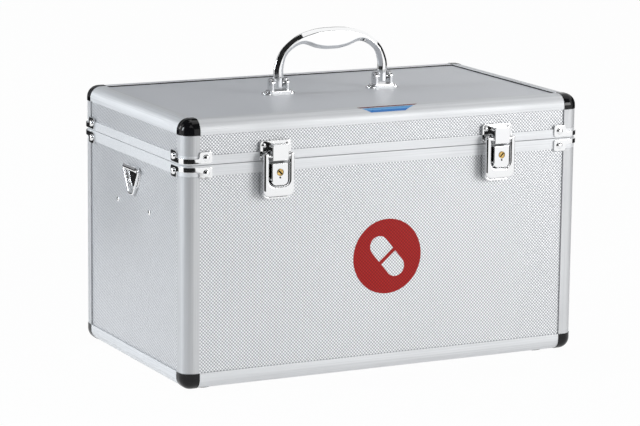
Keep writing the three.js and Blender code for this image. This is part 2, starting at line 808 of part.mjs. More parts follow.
for (const side of sides) {
  const { name, x, y, turn } = side;
  const place = [x * caseWidth / 2, y * caseDepth / 2, 0];
  addPiece(body, `${name}_panel`, sidePanel(side), embossedSheet, place, turn);
  addPiece(body, `bottom_edge_${name}`, bottomEdge(side), satinAluminium, place, turn);
}
addPiece(body, 'bottom_panel', bottomPanel(), smoothSheet);
addPiece(body, 'body_rim', bodyRim(), satinAluminium);

// Hinge
const hingeAxis = [0, caseDepth / 2 + knuckleRadius + hingeClearance, splitHeight + splitGap / 2];
addPiece(body, 'hinge_leaf_body', hingeLeaf(0, false), satinAluminium, hingeAxis);
addPiece(body, 'hinge_pin', rodAlongX(hingePinRadius, hingeLength), chrome, hingeAxis);

// Lid
const lid = new THREE.Group();
const upperBrace = cornerBrace();
const upperCap = topCap();
for (const { name, x, y, turn } of corners) {
  const [cornerX, cornerY] = [x * caseWidth / 2, y * caseDepth / 2];
  const bracePlace = [cornerX, cornerY, lidBottom + braceEdgeGap];
  addPiece(lid, `top_cap_${name}`, upperCap, blackPlastic, [cornerX, cornerY, caseHeight], turn);
  addPiece(lid, `upper_brace_${name}`, upperBrace, chrome, bracePlace, turn);
}
for (const side of sides) {
  const place = [side.x * caseWidth / 2, side.y * caseDepth / 2, caseHeight];
  addPiece(lid, `top_edge_${side.name}`, topEdge(side), satinAluminium, place, side.turn);
}
addPiece(lid, 'lid_top_panel', lidTopPanel(), smoothSheet);
addPiece(lid, 'lid_skirt', lidSkirt(), embossedSheet);
addPiece(lid, 'lid_rim', lidRim(), satinAluminium);
addPiece(lid, 'hinge_leaf_lid', hingeLeaf(1, true), satinAluminium, hingeAxis);

// Hasp locks, with keeper and hasp on the lid and base and cylinder on the body
const halves = [['left', -1], ['right', 1]];
for (const [name, side] of halves) {
  const x = side * latchSpacing / 2;
  const front = -caseDepth / 2;
  const haspPlace = [x, front - haspAxisProud, splitHeight + haspAxisHeight];
  const cylinderPlace = [x, front, splitHeight - cylinderDrop];
  addPiece(body, `latch_base_${name}`, latchBase(), chrome, [x, front, splitHeight]);
  addPiece(body, `lock_cylinder_${name}`, lockCylinder(), brass, cylinderPlace);
  addPiece(lid, `latch_keeper_${name}`, latchKeeper(), chrome, [x, front, splitHeight]);
  addPiece(lid, `latch_hasp_${name}`, latchHasp(), chrome, haspPlace);
}

// Handle
const lidFace = caseHeight - panelFront;
for (const [name, side] of halves) {
  const place = [side * handleSpread / 2, 0, lidFace];
  addPiece(lid, `handle_bracket_${name}`, handleBracket(), chrome, place);
}
addPiece(lid, 'carrying_handle', carryingHandle(), chrome, [0, 0, lidFace + handleAxisHeight]);

// Strap rings
const wallFace = caseWidth / 2 - panelFront;
for (const [name, side] of halves) {
  const platePlace = [side * wallFace, 0, strapHeight];
  const ringPlace = [side * (wallFace + barrelRadius), 0, strapHeight];
  addPiece(body, `strap_plate_${name}`, strapPlate(), chrome, platePlace, side * rightAngle);
  addPiece(body, `strap_ring_${name}`, strapRing(), chrome, ringPlace, side * rightAngle);
}

addPiece(body, 'tray', tray(), greyPlastic, [0, 0, ledgeHeight + traySeat]);

// The case stands on its feet, centred between its front and rear reach
const lockBox = new THREE.Group();
const frontReach = keeperHumpProud;
const rearReach = 2 * knuckleRadius + hingeClearance;
lockBox.add(body);
lockBox.add(lid);
lockBox.position.set(0, (frontReach - rearReach) / 2, footHeight);

export default lockBox;
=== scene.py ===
from math import copysign, cos, hypot, pi, radians, sin, sqrt

import bmesh
import bpy
from mathutils import Matrix, Vector, geometry


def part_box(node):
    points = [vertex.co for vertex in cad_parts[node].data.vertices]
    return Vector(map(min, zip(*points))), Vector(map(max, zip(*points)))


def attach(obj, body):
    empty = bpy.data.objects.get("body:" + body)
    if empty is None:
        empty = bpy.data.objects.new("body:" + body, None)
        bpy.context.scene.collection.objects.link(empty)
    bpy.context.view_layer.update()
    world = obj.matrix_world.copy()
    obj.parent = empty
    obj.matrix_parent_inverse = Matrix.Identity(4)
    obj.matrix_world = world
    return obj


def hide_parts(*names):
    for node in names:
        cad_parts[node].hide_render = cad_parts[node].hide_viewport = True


# Medicine case: finished pieces, materials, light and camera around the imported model. Metres, +Z up.
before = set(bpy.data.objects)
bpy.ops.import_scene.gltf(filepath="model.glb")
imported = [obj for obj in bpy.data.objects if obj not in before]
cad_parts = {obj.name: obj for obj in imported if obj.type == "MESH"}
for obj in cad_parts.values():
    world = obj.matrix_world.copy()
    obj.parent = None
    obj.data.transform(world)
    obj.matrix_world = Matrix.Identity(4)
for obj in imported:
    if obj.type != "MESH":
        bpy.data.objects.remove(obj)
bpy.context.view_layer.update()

rimLow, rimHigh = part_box("lid_rim")
halfWidth, halfDepth = rimHigh.x, (rimHigh.y - rimLow.y) / 2
frontY, rearY = rimLow.y, rimHigh.y
middleY = (frontY + rearY) / 2
lidBottomZ = rimLow.z
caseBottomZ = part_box("bottom_edge_front")[0].z
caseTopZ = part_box("top_edge_front")[1].z

case = {
    "cornerRadius": 0.0105, "arcSegments": 12, "wall": 0.0013, "depth": 0.0073, "flange": 0.0155,
    "grooveDepth": 0.007, "lipEdge": 0.0003, "panelInset": 0.0014, "panelThickness": 0.0045,
    "jointGap": 0.0005,
}
bodyTopZ = lidBottomZ - case["jointGap"]
panelRear = case["panelInset"] + case["panelThickness"]

corners = {  # side in X, side in Y and quarter turns from the front left corner
    "front_left": (-1, -1, 0), "front_right": (1, -1, 1),
    "rear_right": (1, 1, 2), "rear_left": (-1, 1, 3),
}
sides = {  # outward direction and quarter turns from the front
    "front": (0, -1, 0), "right": (1, 0, 1), "rear": (0, 1, 2), "left": (-1, 0, 3),
}
quarterX, quarterY, quarterZ = ((pi / 2, axis) for axis in "XYZ")
weld = 1e-6  # points nearer than this are one


# Mesh helpers

def facedOut(bm):
    bmesh.ops.recalc_face_normals(bm, faces=bm.faces)
    return bm


def pull(bm, faces, step):  # extrude some faces and move what is new
    edges = list(dict.fromkeys(e for f in faces for e in f.edges))
    made = bmesh.ops.extrude_face_region(bm, geom=list(faces) + edges)["geom"]
    bmesh.ops.translate(bm, vec=step, verts=[g for g in made if isinstance(g, bmesh.types.BMVert)])
    return [g for g in made if isinstance(g, bmesh.types.BMFace)]


def roundEdges(bm, edges, radius, segments):
    bmesh.ops.bevel(
        bm, geom=edges, offset=radius, offset_type="OFFSET", segments=segments, profile=0.5,
        affect="EDGES", clamp_overlap=True, material=-1)


def roundedOutline(bm, points, radii, segments):  # a flat face with its corners rounded
    verts = [bm.verts.new(point) for point in points]
    bm.faces.new(verts)
    for vert, radius in zip(verts, radii):
        if radius:
            bmesh.ops.bevel(
                bm, geom=[vert], offset=radius, offset_type="OFFSET", segments=segments, profile=0.5,
                affect="VERTICES", clamp_overlap=False, material=-1)
    return bm.faces[:]


def rimOf(faces):  # the edges round the outside of some faces
    chosen = set(faces)
    return [e for f in faces for e in f.edges if sum(g in chosen for g in e.link_faces) == 1]


def plateMesh(points, radii, depth, rim=0, rimSegments=2, segments=6, backRim=0):
    # an outline in X and Z pulled forward, to negative Y, with its front and back rims rounded
    bm = bmesh.new()
    back = roundedOutline(bm, [(x, 0, z) for x, z in points], radii, segments)
    front = pull(bm, back, (0, -depth, 0))
    facedOut(bm)
    if rim:
        roundEdges(bm, rimOf(front), rim, rimSegments)
    if backRim:
        roundEdges(bm, rimOf(back), backRim, rimSegments)
    return bm


def rectangle(width, height, low=0):
    return [(-width / 2, low), (width / 2, low), (width / 2, low + height), (-width / 2, low + height)]


def raised(bm, low, high):  # a flat shape at height zero, pulled up from one height to another
    moved(bm, (0, 0, low))
    pull(bm, bm.faces[:], (0, 0, high - low))
    return facedOut(bm)


def blockMesh(low, high, rim=0):
    bm = bmesh.new()
    bmesh.ops.create_cube(bm, size=1)
    bmesh.ops.scale(bm, vec=Vector(high) - Vector(low), verts=bm.verts)
    bmesh.ops.translate(bm, vec=(Vector(high) + Vector(low)) / 2, verts=bm.verts)
    if rim:
        roundEdges(bm, bm.edges[:], rim, 2)
    return bm


def turnedMesh(profile, segments):  # profile of radius and height, spun round Z
    bm = bmesh.new()
    verts = [bm.verts.new((r, 0, z)) for r, z in profile]
    edges = [bm.edges.new(pair) for pair in zip(verts, verts[1:])]
    bmesh.ops.spin(
        bm, geom=verts + edges, cent=(0, 0, 0), axis=(0, 0, 1), angle=2 * pi, steps=segments,
        use_merge=True)
    bmesh.ops.remove_doubles(bm, verts=bm.verts, dist=weld)
    return facedOut(bm)


def rodMesh(radius, length, segments, edge=0):  # from the origin up
    side = [(radius, 0), (radius, length)]
    if edge:
        side = [(radius - edge, 0), (radius, edge), (radius, length - edge), (radius - edge, length)]
    return turnedMesh([(0, 0), *side, (0, length)], segments)


def crossRod(middle, radius, length, segments, edge=0):  # along X
    place = (middle[0] - length / 2, *middle[1:])
    return moved(rodMesh(radius, length, segments, edge), place, quarterY)


def moved(bm, place=(0, 0, 0), turn=None):
    if turn:
        angle, axis = turn
        bmesh.ops.rotate(bm, cent=(0, 0, 0), matrix=Matrix.Rotation(angle, 3, axis), verts=bm.verts)
    bmesh.ops.translate(bm, vec=place, verts=bm.verts)
    return bm


def reshaped(bm, *rows):
    bmesh.ops.transform(bm, matrix=Matrix(rows).to_4x4(), verts=bm.verts)
    return bm


def atSpot(bm, spot, height=0):  # from the origin to a corner, or to the middle of a side
    x, y, turns = (corners | sides)[spot]
    return moved(bm, (x * halfWidth, middleY + y * halfDepth, height), (turns * pi / 2, "Z"))


def sliced(bm, place, direction, clearOuter=False):
    everything = bm.verts[:] + bm.edges[:] + bm.faces[:]
    bmesh.ops.bisect_plane(
        bm, geom=everything, plane_co=place, plane_no=direction, clear_outer=clearOuter)


def together(first, *others):
    for other in others:
        spare = bpy.data.meshes.new("spare")
        other.to_mesh(spare)
        first.from_mesh(spare)
        other.free()
        bpy.data.meshes.remove(spare)
    return first


def addObject(name, data):
    made = bpy.data.objects.new(name, data)
    bpy.context.scene.collection.objects.link(made)
    return made


def meshObject(name, bm, *materials):
    mesh = bpy.data.meshes.new(name)
    bm.to_mesh(mesh)
    bm.free()
    for material in materials:
        mesh.materials.append(material)
    return addObject(name, mesh)


def cutMesh(bm, tool):
    base, tool = meshObject("base", bm), meshObject("tool", tool)
    cutter = base.modifiers.new("cut", "BOOLEAN")
    cutter.operation = "DIFFERENCE"
    cutter.solver = "EXACT"
    cutter.object = tool
    made = bmesh.new()
    made.from_mesh(base.evaluated_get(bpy.context.evaluated_depsgraph_get()).to_mesh())
    for spare in (base, tool):
        mesh = spare.data
        bpy.data.objects.remove(spare)
        bpy.data.meshes.remove(mesh)
    return made


def darkened(bm, isDark):  # gives some faces the second material
    for face in bm.faces:
        if isDark(face.calc_center_median()):
            face.material_index = 1
    return bm


def finishPiece(name, bm, body, slot, *materials, node=None, sharpAngle=32, weighted=True):
    bmesh.ops.remove_doubles(bm, verts=bm.verts, dist=weld)
    facedOut(bm)
    for face in bm.faces:
        face.smooth = True
    for edge in bm.edges:
        edge.smooth = edge.calc_face_angle(pi) < radians(sharpAngle)
    piece = meshObject(name, bm, *materials)
    if weighted:
        piece.modifiers.new("evenNormals", "WEIGHTED_NORMAL").keep_sharp = True
    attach(piece, body)
    if node:
        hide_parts(node)


def dress(node, word, *rest, **options):  # a piece that takes the place of one node
    finishPiece(node + "_" + word, *rest, node=node, **options)


# Shader helpers

def addNode(tree, kind, values=(), **settings):
    node = tree.nodes.new("ShaderNode" + kind)
    for name, value in settings.items():
        setattr(node, name, value)
    for key, value in dict(values).items():
        if isinstance(value, bpy.types.NodeSocket):
            tree.links.new(value, node.inputs[key])
        else:
            node.inputs[key].default_value = value
    return node


def calc(tree, operation, a, b):
    return addNode(tree, "Math", {0: a, 1: b}, operation=operation).outputs[0]


def objectPoint(tree):
    return addNode(tree, "TexCoord").outputs["Object"]


def noiseIn(tree, scale, detail, point=None):
    point = objectPoint(tree) if point is None else point
    return addNode(tree, "TexNoise", {"Vector": point, "Scale": scale, "Detail": detail}).outputs


def newGroup(name, inputs, *outputs):
    tree = bpy.data.node_groups.new(name, "ShaderNodeTree")
    for title, value in inputs.items():
        kind = "NodeSocketVector" if isinstance(value, tuple) else "NodeSocketFloat"
        tree.interface.new_socket(name=title, in_out="INPUT", socket_type=kind).default_value = value
    for title in outputs:
        tree.interface.new_socket(name=title, in_out="OUTPUT", socket_type="NodeSocketFloat")
    return tree, tree.nodes.new("NodeGroupInput").outputs, tree.nodes.new("NodeGroupOutput").inputs


def useGroup(tree, group, **values):
    node = tree.nodes.new("ShaderNodeGroup")
    node.node_tree = group
    for key, value in values.items():
        node.inputs[key].default_value = value
    return node.outputs


def spanned(tree, value, low, high, fromLow=0.0, fromHigh=1.0):
    values = {0: value, 1: fromLow, 2: fromHigh, 3: low, 4: high}
    return addNode(tree, "MapRange", values).outputs[0]


def colourRamp(tree, value, *stops):
    node = addNode(tree, "ValToRGB", {0: value})
    elements = node.color_ramp.elements
    while len(elements) < len(stops):
        elements.new(0.5)
    for element, (place, colour) in zip(elements, stops):
        element.position = place
        element.color = (*colour, 1)
    return node.outputs[0]


def newMaterial(name, **shader):
    material = bpy.data.materials.new(name)
    material.use_nodes = True
    tree = material.node_tree
    inputs = tree.nodes["Principled BSDF"].inputs
    for title, value in shader.items():
        inputs[title.replace("_", " ")].default_value = value
    return material, tree, inputs


def linkLook(tree, inputs, colour, roughness, *bump):  # bump: height, strength and distance
    tree.links.new(colour, inputs["Base Color"])
    tree.links.new(roughness, inputs["Roughness"])
    if bump:
        values = dict(zip(("Height", "Strength", "Distance"), bump))
        tree.links.new(addNode(tree, "Bump", values).outputs[0], inputs["Normal"])


# Effects shared by the materials

def makeEmbossGroup():  # staggered raised dots on every upright face
    tree, given, out = newGroup("embossedDots", {"Pitch": 0.003}, "Dots")
    x, y, z = addNode(tree, "SeparateXYZ", {0: objectPoint(tree)}).outputs
    along = calc(tree, "ADD", x, y)
    waves = []
    for operation in ("ADD", "SUBTRACT"):
        turns = calc(tree, "DIVIDE", calc(tree, operation, along, z), given["Pitch"])
        waves.append(calc(tree, "COSINE", calc(tree, "MULTIPLY", turns, 2 * pi), 0.0))
    values = {0: calc(tree, "ADD", *waves), 1: -0.9, 2: 1.3, 3: 0, 4: 1}
    dots = addNode(tree, "MapRange", values, interpolation_type="SMOOTHSTEP")
    tree.links.new(dots.outputs[0], out["Dots"])
    return tree


def makeGrainGroup():  # fine lines drawn out along one direction
    tree, given, out = newGroup("drawnGrain", {"Stretch": (1, 1, 1), "Size": 1.0}, "Lines")
    values = {0: objectPoint(tree), 1: given["Stretch"]}
    place = addNode(tree, "VectorMath", values, operation="MULTIPLY").outputs[0]
    tree.links.new(noiseIn(tree, given["Size"], 3, place)[0], out["Lines"])
    return tree


def makeHandlingGroup():  # soft smudges and a few fine scratches from use
    sizes = {"SmudgeSize": 18.0, "ScratchSize": 90.0}
    tree, given, out = newGroup("handlingMarks", sizes, "Smudge", "Scratches")
    smudge = noiseIn(tree, given["SmudgeSize"], 4)[0]
    tree.links.new(spanned(tree, smudge, 0, 1, 0.42, 0.72), out["Smudge"])
    values = {0: objectPoint(tree), 1: noiseIn(tree, 9.0, 1)["Color"]}
    bent = addNode(tree, "VectorMath", values, operation="ADD").outputs[0]
    values = {"Vector": bent, "Scale": given["ScratchSize"]}
    cells = addNode(tree, "TexVoronoi", values, feature="DISTANCE_TO_EDGE")
    line = spanned(tree, cells.outputs["Distance"], 1, 0, 0.0, 0.012)
    tree.links.new(calc(tree, "MULTIPLY", line, smudge), out["Scratches"])
    return tree


embossGroup = makeEmbossGroup()
embossPitch = 0.0031
grainGroup = makeGrainGroup()
handlingGroup = makeHandlingGroup()


# Materials

# shade scales the whole colour down to make a darker copy of this aluminium: painted shade
def makeAluminium(name, stretch, metallic=0.5, shade=1.0):  # drawn, satin anodised edge strips
    look = {
        "light": (0.83, 0.84, 0.85), "dark": (0.73, 0.74, 0.75), "rough": (0.58, 0.68),
        "grain": 0.00003,
    }
    material, tree, inputs = newMaterial(name, Metallic=metallic, IOR=1.45)
    lines = useGroup(tree, grainGroup, Stretch=stretch, Size=1.0)["Lines"]
    smudge = useGroup(tree, handlingGroup, SmudgeSize=12.0)["Smudge"]
    dark, light = (tuple(shade * c for c in look[key]) for key in ("dark", "light"))
    colour = colourRamp(tree, lines, (0.3, dark), (0.62, light))
    linkLook(tree, inputs, colour, spanned(tree, smudge, *look["rough"]), lines, 0.25, look["grain"])
    return material


def makeEmbossedSheet():
    look = {
        "dot": (0.93, 0.935, 0.94), "paintedValleyShade": (0.42, 0.43, 0.45), "rough": (0.34, 0.46),
        "height": 0.00028,
    }
    material, tree, inputs = newMaterial("embossedSheet", Metallic=0.4, IOR=1.45)
    dots = useGroup(tree, embossGroup, Pitch=embossPitch)["Dots"]
    smudge = useGroup(tree, handlingGroup, SmudgeSize=7.0)["Smudge"]
    # the hollows between the raised dots get a much darker colour: painted shade over the bump
    colour = colourRamp(tree, dots, (0.0, look["paintedValleyShade"]), (0.75, look["dot"]))
    linkLook(tree, inputs, colour, spanned(tree, smudge, *look["rough"]), dots, 0.6, look["height"])
    return material


def makeSmoothSheet():  # plain lid sheet with a very fine orange-peel lacquer
    look = {
        "light": (0.79, 0.80, 0.82), "dark": (0.76, 0.77, 0.79), "rough": (0.48, 0.58), "cloud": 6.0,
        "peel": 900.0, "height": 0.00002,
    }
    material, tree, inputs = newMaterial("smoothSheet", Metallic=0.3, IOR=1.45)
    peel = noiseIn(tree, look["peel"], 2)[0]
    smudge = useGroup(tree, handlingGroup, SmudgeSize=9.0)["Smudge"]
    cloud = noiseIn(tree, look["cloud"], 2)[0]
    colour = colourRamp(tree, cloud, (0.35, look["dark"]), (0.65, look["light"]))
    linkLook(tree, inputs, colour, spanned(tree, smudge, *look["rough"]), peel, 0.3, look["height"])
    return material


def makeChrome(name, bright, dull, rough):
    look = {"waves": 140.0, "height": 0.0004}
    material, tree, inputs = newMaterial(name, Metallic=1.0)
    marks = useGroup(tree, handlingGroup, SmudgeSize=60.0, ScratchSize=160.0)
    waves = noiseIn(tree, look["waves"], 1)[0]
    colour = colourRamp(tree, marks["Scratches"], (0.0, bright), (1.0, dull))
    linkLook(tree, inputs, colour, spanned(tree, marks["Smudge"], *rough), waves, 0.08, look["height"])
    return material


def makeBrass():
    look = {
        "light": (0.82, 0.62, 0.27), "dark": (0.52, 0.34, 0.11), "rough": (0.18, 0.34),
        "grain": 0.00005,
    }
    material, tree, inputs = newMaterial("brass", Metallic=1.0)
    lines = useGroup(tree, grainGroup, Stretch=(3, 1, 3), Size=500.0)["Lines"]
    colour = colourRamp(tree, lines, (0.3, look["dark"]), (0.65, look["light"]))
    linkLook(tree, inputs, colour, spanned(tree, lines, *look["rough"]), lines, 0.3, look["grain"])
    return material


def makeMoulded(name, light, dark, rough, peel=0.00002, ior=1.45):  # moulded plastic and rubber
    material, tree, inputs = newMaterial(name, IOR=ior)
    grain = noiseIn(tree, 700.0, 2)[0]
    marks = useGroup(tree, handlingGroup, SmudgeSize=45.0, ScratchSize=120.0)
    colour = colourRamp(tree, marks["Scratches"], (0.0, dark), (1.0, light))
    linkLook(tree, inputs, colour, spanned(tree, marks["Smudge"], *rough), grain, 0.3, peel)
    return material


def makePrint(name, colour, paintedInkShade):  # ink on the sheet, with its dots showing through
    look = {"rough": (0.5, 0.36), "height": 0.00025}
    material, tree, inputs = newMaterial(name, Metallic=0.0, IOR=1.33)
    dots = useGroup(tree, embossGroup, Pitch=embossPitch)["Dots"]
    # the ink in the hollows between the dots is darker: painted shade, as on the bare sheet
    shown = colourRamp(tree, dots, (0.0, paintedInkShade), (0.8, colour))
    linkLook(tree, inputs, shown, spanned(tree, dots, *look["rough"]), dots, 0.5, look["height"])
    return material


def makeLabelFilm():  # blue film with a white border and a thin red band along its top
    look = {
        "blue": (0.035, 0.22, 0.62), "paleBlue": (0.12, 0.42, 0.80), "white": (0.86, 0.88, 0.9),
        "red": (0.2, 0.012, 0.012), "paleStart": 0.3, "whiteStart": 0.66, "redStart": 0.74,
    }
    material, tree, inputs = newMaterial("labelFilm", Coat_Weight=0.3, Coat_Roughness=0.12)
    up = addNode(tree, "SeparateXYZ", {0: addNode(tree, "UVMap", uv_map="flat").outputs[0]}).outputs[1]
    colour = colourRamp(
        tree, up, (0.0, look["blue"]), (look["paleStart"], look["paleBlue"]),
        (look["whiteStart"], look["white"]), (look["redStart"], look["red"]))
    colour.node.color_ramp.interpolation = "CONSTANT"
    linkLook(tree, inputs, colour, spanned(tree, noiseIn(tree, 300.0, 2)[0], 0.22, 0.36))
    return material


stripX = makeAluminium("aluminiumAlongX", (6, 900, 900))
stripY = makeAluminium("aluminiumAlongY", (900, 6, 900))
# the upright strips are this aluminium darkened to 0.79: painted shade for how light falls on them
stripZ = makeAluminium("aluminiumAlongZPaintedShade", (900, 900, 6), 0.62, 0.79)
embossedSheet = makeEmbossedSheet()
smoothSheet = makeSmoothSheet()
chrome = makeChrome("chrome", (0.93, 0.935, 0.94), (0.84, 0.85, 0.86), (0.035, 0.11))
hingeSteel = makeChrome("hingeSteel", (0.66, 0.66, 0.67), (0.5, 0.5, 0.51), (0.2, 0.32))
satinChrome = makeChrome("satinChrome", (0.72, 0.725, 0.735), (0.6, 0.61, 0.62), (0.16, 0.26))
brass = makeBrass()
blackPlastic = makeMoulded(
    "blackPlastic", (0.03, 0.03, 0.032), (0.006, 0.006, 0.007), (0.07, 0.15), ior=1.36)
blackRubber = makeMoulded(
    "blackRubber", (0.05, 0.05, 0.05), (0.01, 0.01, 0.01), (0.6, 0.75), 0.0001, ior=1.3)
trayPlastic = makeMoulded("trayPlastic", (0.74, 0.75, 0.76), (0.68, 0.69, 0.7), (0.38, 0.5), 0.00006)
lining = makeMoulded("lining", (0.5, 0.5, 0.51), (0.44, 0.445, 0.455), (0.6, 0.75), 0.0001)
# near-black for the inside of the key slots and the lock dimples: painted shade in these hollows
paintedRecessShade = makeMoulded("paintedRecessShade", (0.03, 0.025, 0.02), (0.01, 0.009, 0.008), (0.5, 0.6))
redPrint = makePrint("redPrint", (0.53, 0.008, 0.006), (0.27, 0.005, 0.004))
labelFilm = makeLabelFilm()
print("materials made")


# Edge strips

def outlineMesh(points, length):  # an outline in X and Y, pulled up
    bm = bmesh.new()
    bm.faces.new([bm.verts.new((*point, 0)) for point in points])
    return raised(bm, 0, length)


def uprights(bm, isThere):  # the upright edges that stand at chosen places
    return [
        e for e in bm.edges
        if (e.verts[0].co - e.verts[1].co).xy.length < weld and isThere(*e.verts[0].co.xy)]


def stripMesh(across, length):  # grooved angle strip, outer corner on the Z axis, running up
    flange, wall, depth, groove = case["flange"], case["wall"], case["depth"], case["grooveDepth"]
    back, near = depth - wall, wall / 4
    points = [
        (0, 0), (flange, 0), (flange, wall), (flange - groove, wall), (flange - groove, back),
        (flange, back), (flange, depth), (depth, depth), (depth, across), (back, across),
        (back, across - groove), (wall, across - groove), (wall, across), (0, across),
    ]
    bm = outlineMesh(points, length)
    outer = uprights(bm, lambda x, y: hypot(x, y) < near)
    lips = uprights(bm, lambda x, y: x > flange - near or y > across - near)
    roundEdges(bm, lips, case["lipEdge"], 2)
    roundEdges(bm, outer, case["cornerRadius"], case["arcSegments"])
    return bm


def makeStrips():
    lowZ, highZ = (corner.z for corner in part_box("corner_post_front_left"))
    for name in corners:
        post = atSpot(stripMesh(case["flange"], highZ - lowZ), name, lowZ)
        dress("corner_post_" + name, "strip", post, "case", "edge_extrusion", stripZ)
    for side, (x, *_) in sides.items():
        for edge, body, up in (("bottom_edge_", "case", 1), ("top_edge_", "lid", -1)):
            low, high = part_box(edge + side)
            span = max(high.x - low.x, high.y - low.y)
            bm = stripMesh(high.z - low.z, span)
            reshaped(bm, (0, 0, up), (1, 0, 0), (0, up, 0))  # laid along X, its flange up or down
            moved(bm, (-up * span / 2, 0, 0))
            atSpot(bm, side, low.z if up > 0 else high.z)
            dress(edge + side, "strip", bm, body, "edge_extrusion", stripY if x else stripX)


makeStrips()


# Rims at the joint line

def insetOf(point):  # how far a point lies in from the case's outer face
    radius = case["cornerRadius"]
    x = abs(point.x) - halfWidth + radius
    y = abs(point.y - middleY) - halfDepth + radius
    return radius - (hypot(x, y) if x > 0 and y > 0 else max(x, y))


def lookingUp(bm):
    return [f for f in bm.faces if f.normal.z > 0.9]


def lookingOut(face):
    return abs(face.normal.z) < 0.1 and insetOf(face.calc_center_median()) < case["wall"] / 2


def roundedFace(halfX, halfY, radius):  # flat at height zero, in the middle of the case
    bm = bmesh.new()
    points = [(x * halfX, middleY + y * halfY, 0) for x, y, _ in corners.values()]
    roundedOutline(bm, points, [radius] * 4, case["arcSegments"])
    bm.normal_update()
    return bm


def ringMesh(halfX, halfY, radius, insets):  # nested bands from the outside in, at height zero
    first = insets[0]
    bm = roundedFace(halfX - first, halfY - first, radius - first)
    face = bm.faces[:][0]
    bands = []
    for outer, inner in zip(insets, insets[1:]):
        bands.append(bmesh.ops.inset_individual(
            bm, faces=[face], thickness=inner - outer, use_even_offset=True)["faces"])
        bm.normal_update()
    bmesh.ops.delete(bm, geom=[face], context="FACES_ONLY")
    return bm, bands


def caseRing(*insets):
    return ringMesh(halfWidth, halfDepth, case["cornerRadius"], insets)


def roundOuterRims(bm, heights, radius):
    edges = [
        e for e in bm.edges
        if any(all(abs(v.co.z - z) < weld for v in e.verts) for z in heights)
        and any(lookingOut(f) for f in e.link_faces)
        and any(abs(f.normal.z) > 0.9 for f in e.link_faces)
    ]
    roundEdges(bm, edges, radius, 2)


def makeRims():
    rims = {
        "web": 0.0025, "tongueInset": 0.003, "tongueWidth": 0.0012, "tongueHeight": 0.0022,
        "tonguePlay": 0.0005, "lidRimHeight": 0.0082, "edge": 0.0003,
    }
    wall, depth, play = case["wall"], case["depth"], rims["tonguePlay"]
    tongueIn, tongueOut = rims["tongueInset"], rims["tongueInset"] + rims["tongueWidth"]
    low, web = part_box("body_rim")[0].z, bodyTopZ - rims["web"]
    bm, bands = caseRing(0, wall, tongueIn, tongueOut, depth - wall, depth)
    raised(bm, web, bodyTopZ)
    for band in (bands[0], bands[4]):
        pull(bm, band, (0, 0, low - web))
    tongue = [f for f in lookingUp(bm) if tongueIn < insetOf(f.calc_center_median()) < tongueOut]
    pull(bm, tongue, (0, 0, rims["tongueHeight"]))
    roundOuterRims(facedOut(bm), (low, bodyTopZ), rims["edge"])
    dress("body_rim", "band", bm, "case", "edge_extrusion", stripX)

    web = lidBottomZ + rims["tongueHeight"] + play - case["jointGap"]
    high = lidBottomZ + rims["lidRimHeight"]
    bm, bands = caseRing(0, wall, tongueIn - play, tongueOut + play, depth - wall, depth)
    raised(bm, web, web + wall)
    walls = [f for f in lookingUp(bm) if not wall < insetOf(f.calc_center_median()) < depth - wall]
    pull(bm, walls, (0, 0, high - web - wall))
    pull(bm, [f for index in (0, 1, 3, 4) for f in bands[index]], (0, 0, lidBottomZ - web))
    roundOuterRims(facedOut(bm), (lidBottomZ, high), rims["edge"])
    dress("lid_rim", "band", bm, "lid", "edge_extrusion", stripX)
    return high


lidRimTopZ = makeRims()


def makeLidPosts():  # the short uprights between the braces and the upper caps
    flange, radius, wall = case["flange"], case["cornerRadius"], case["wall"]
    points = [(0, 0), (flange, 0), (flange, wall), (wall, wall), (wall, flange), (0, flange)]
    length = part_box("top_cap_front_left")[0].z - lidRimTopZ
    for name in corners:
        bm = outlineMesh(points, length)
        for inset in (0, wall):
            edges = uprights(bm, lambda x, y: hypot(x - inset, y - inset) < wall / 4)
            roundEdges(bm, edges, radius - inset, case["arcSegments"])
        finishPiece("lid_post_" + name, atSpot(bm, name, lidRimTopZ), "lid", "edge_extrusion", stripZ)


makeLidPosts()
print("strips and rims made")


# Panels

def skinned(bm, outward):  # sheet outside, lining inside
    bm.normal_update()
    for face in bm.faces:
        face.material_index = 0 if face.normal.dot(Vector(outward)) > -0.5 else 1
    return bm


def makeLedge(side, length):  # the angle that carries the tray
    ledge = {"reach": 0.011, "drop": 0.012, "thickness": 0.0015, "play": 0.0003}
    thickness, reach, drop = ledge["thickness"], ledge["reach"], ledge["drop"]
    points = [
        (0, 0), (thickness, 0), (thickness, drop - thickness), (reach, drop - thickness), (reach, drop),
        (0, drop),
    ]
    bm = moved(plateMesh(points, (), length), (0, length / 2, 0))
    x = sides[side][0]
    place = (x * (halfWidth - panelRear), middleY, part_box("tray")[0].z - ledge["play"] - drop)
    moved(bm, place, (0 if x < 0 else pi, "Z"))
    finishPiece("tray_ledge_" + side, bm, "case", "edge_extrusion", stripY)


def makeSidePanels():
    ledgeEnd = 0.0126  # how far a ledge stops short of its panel's edge
    for side, (x, y, _) in sides.items():
        node = side + "_panel"
        low, high = (corner.copy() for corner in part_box(node))
        thin = 0 if x else 1
        if x + y < 0:
            high[thin] = low[thin] + case["panelThickness"]
        else:
            low[thin] = high[thin] - case["panelThickness"]
        bm = skinned(blockMesh(low, high), (x, y, 0))
        dress(node, "board", bm, "case", "embossed_panel", embossedSheet, lining)
        if x:
            makeLedge(side, high.y - low.y - 2 * ledgeEnd)


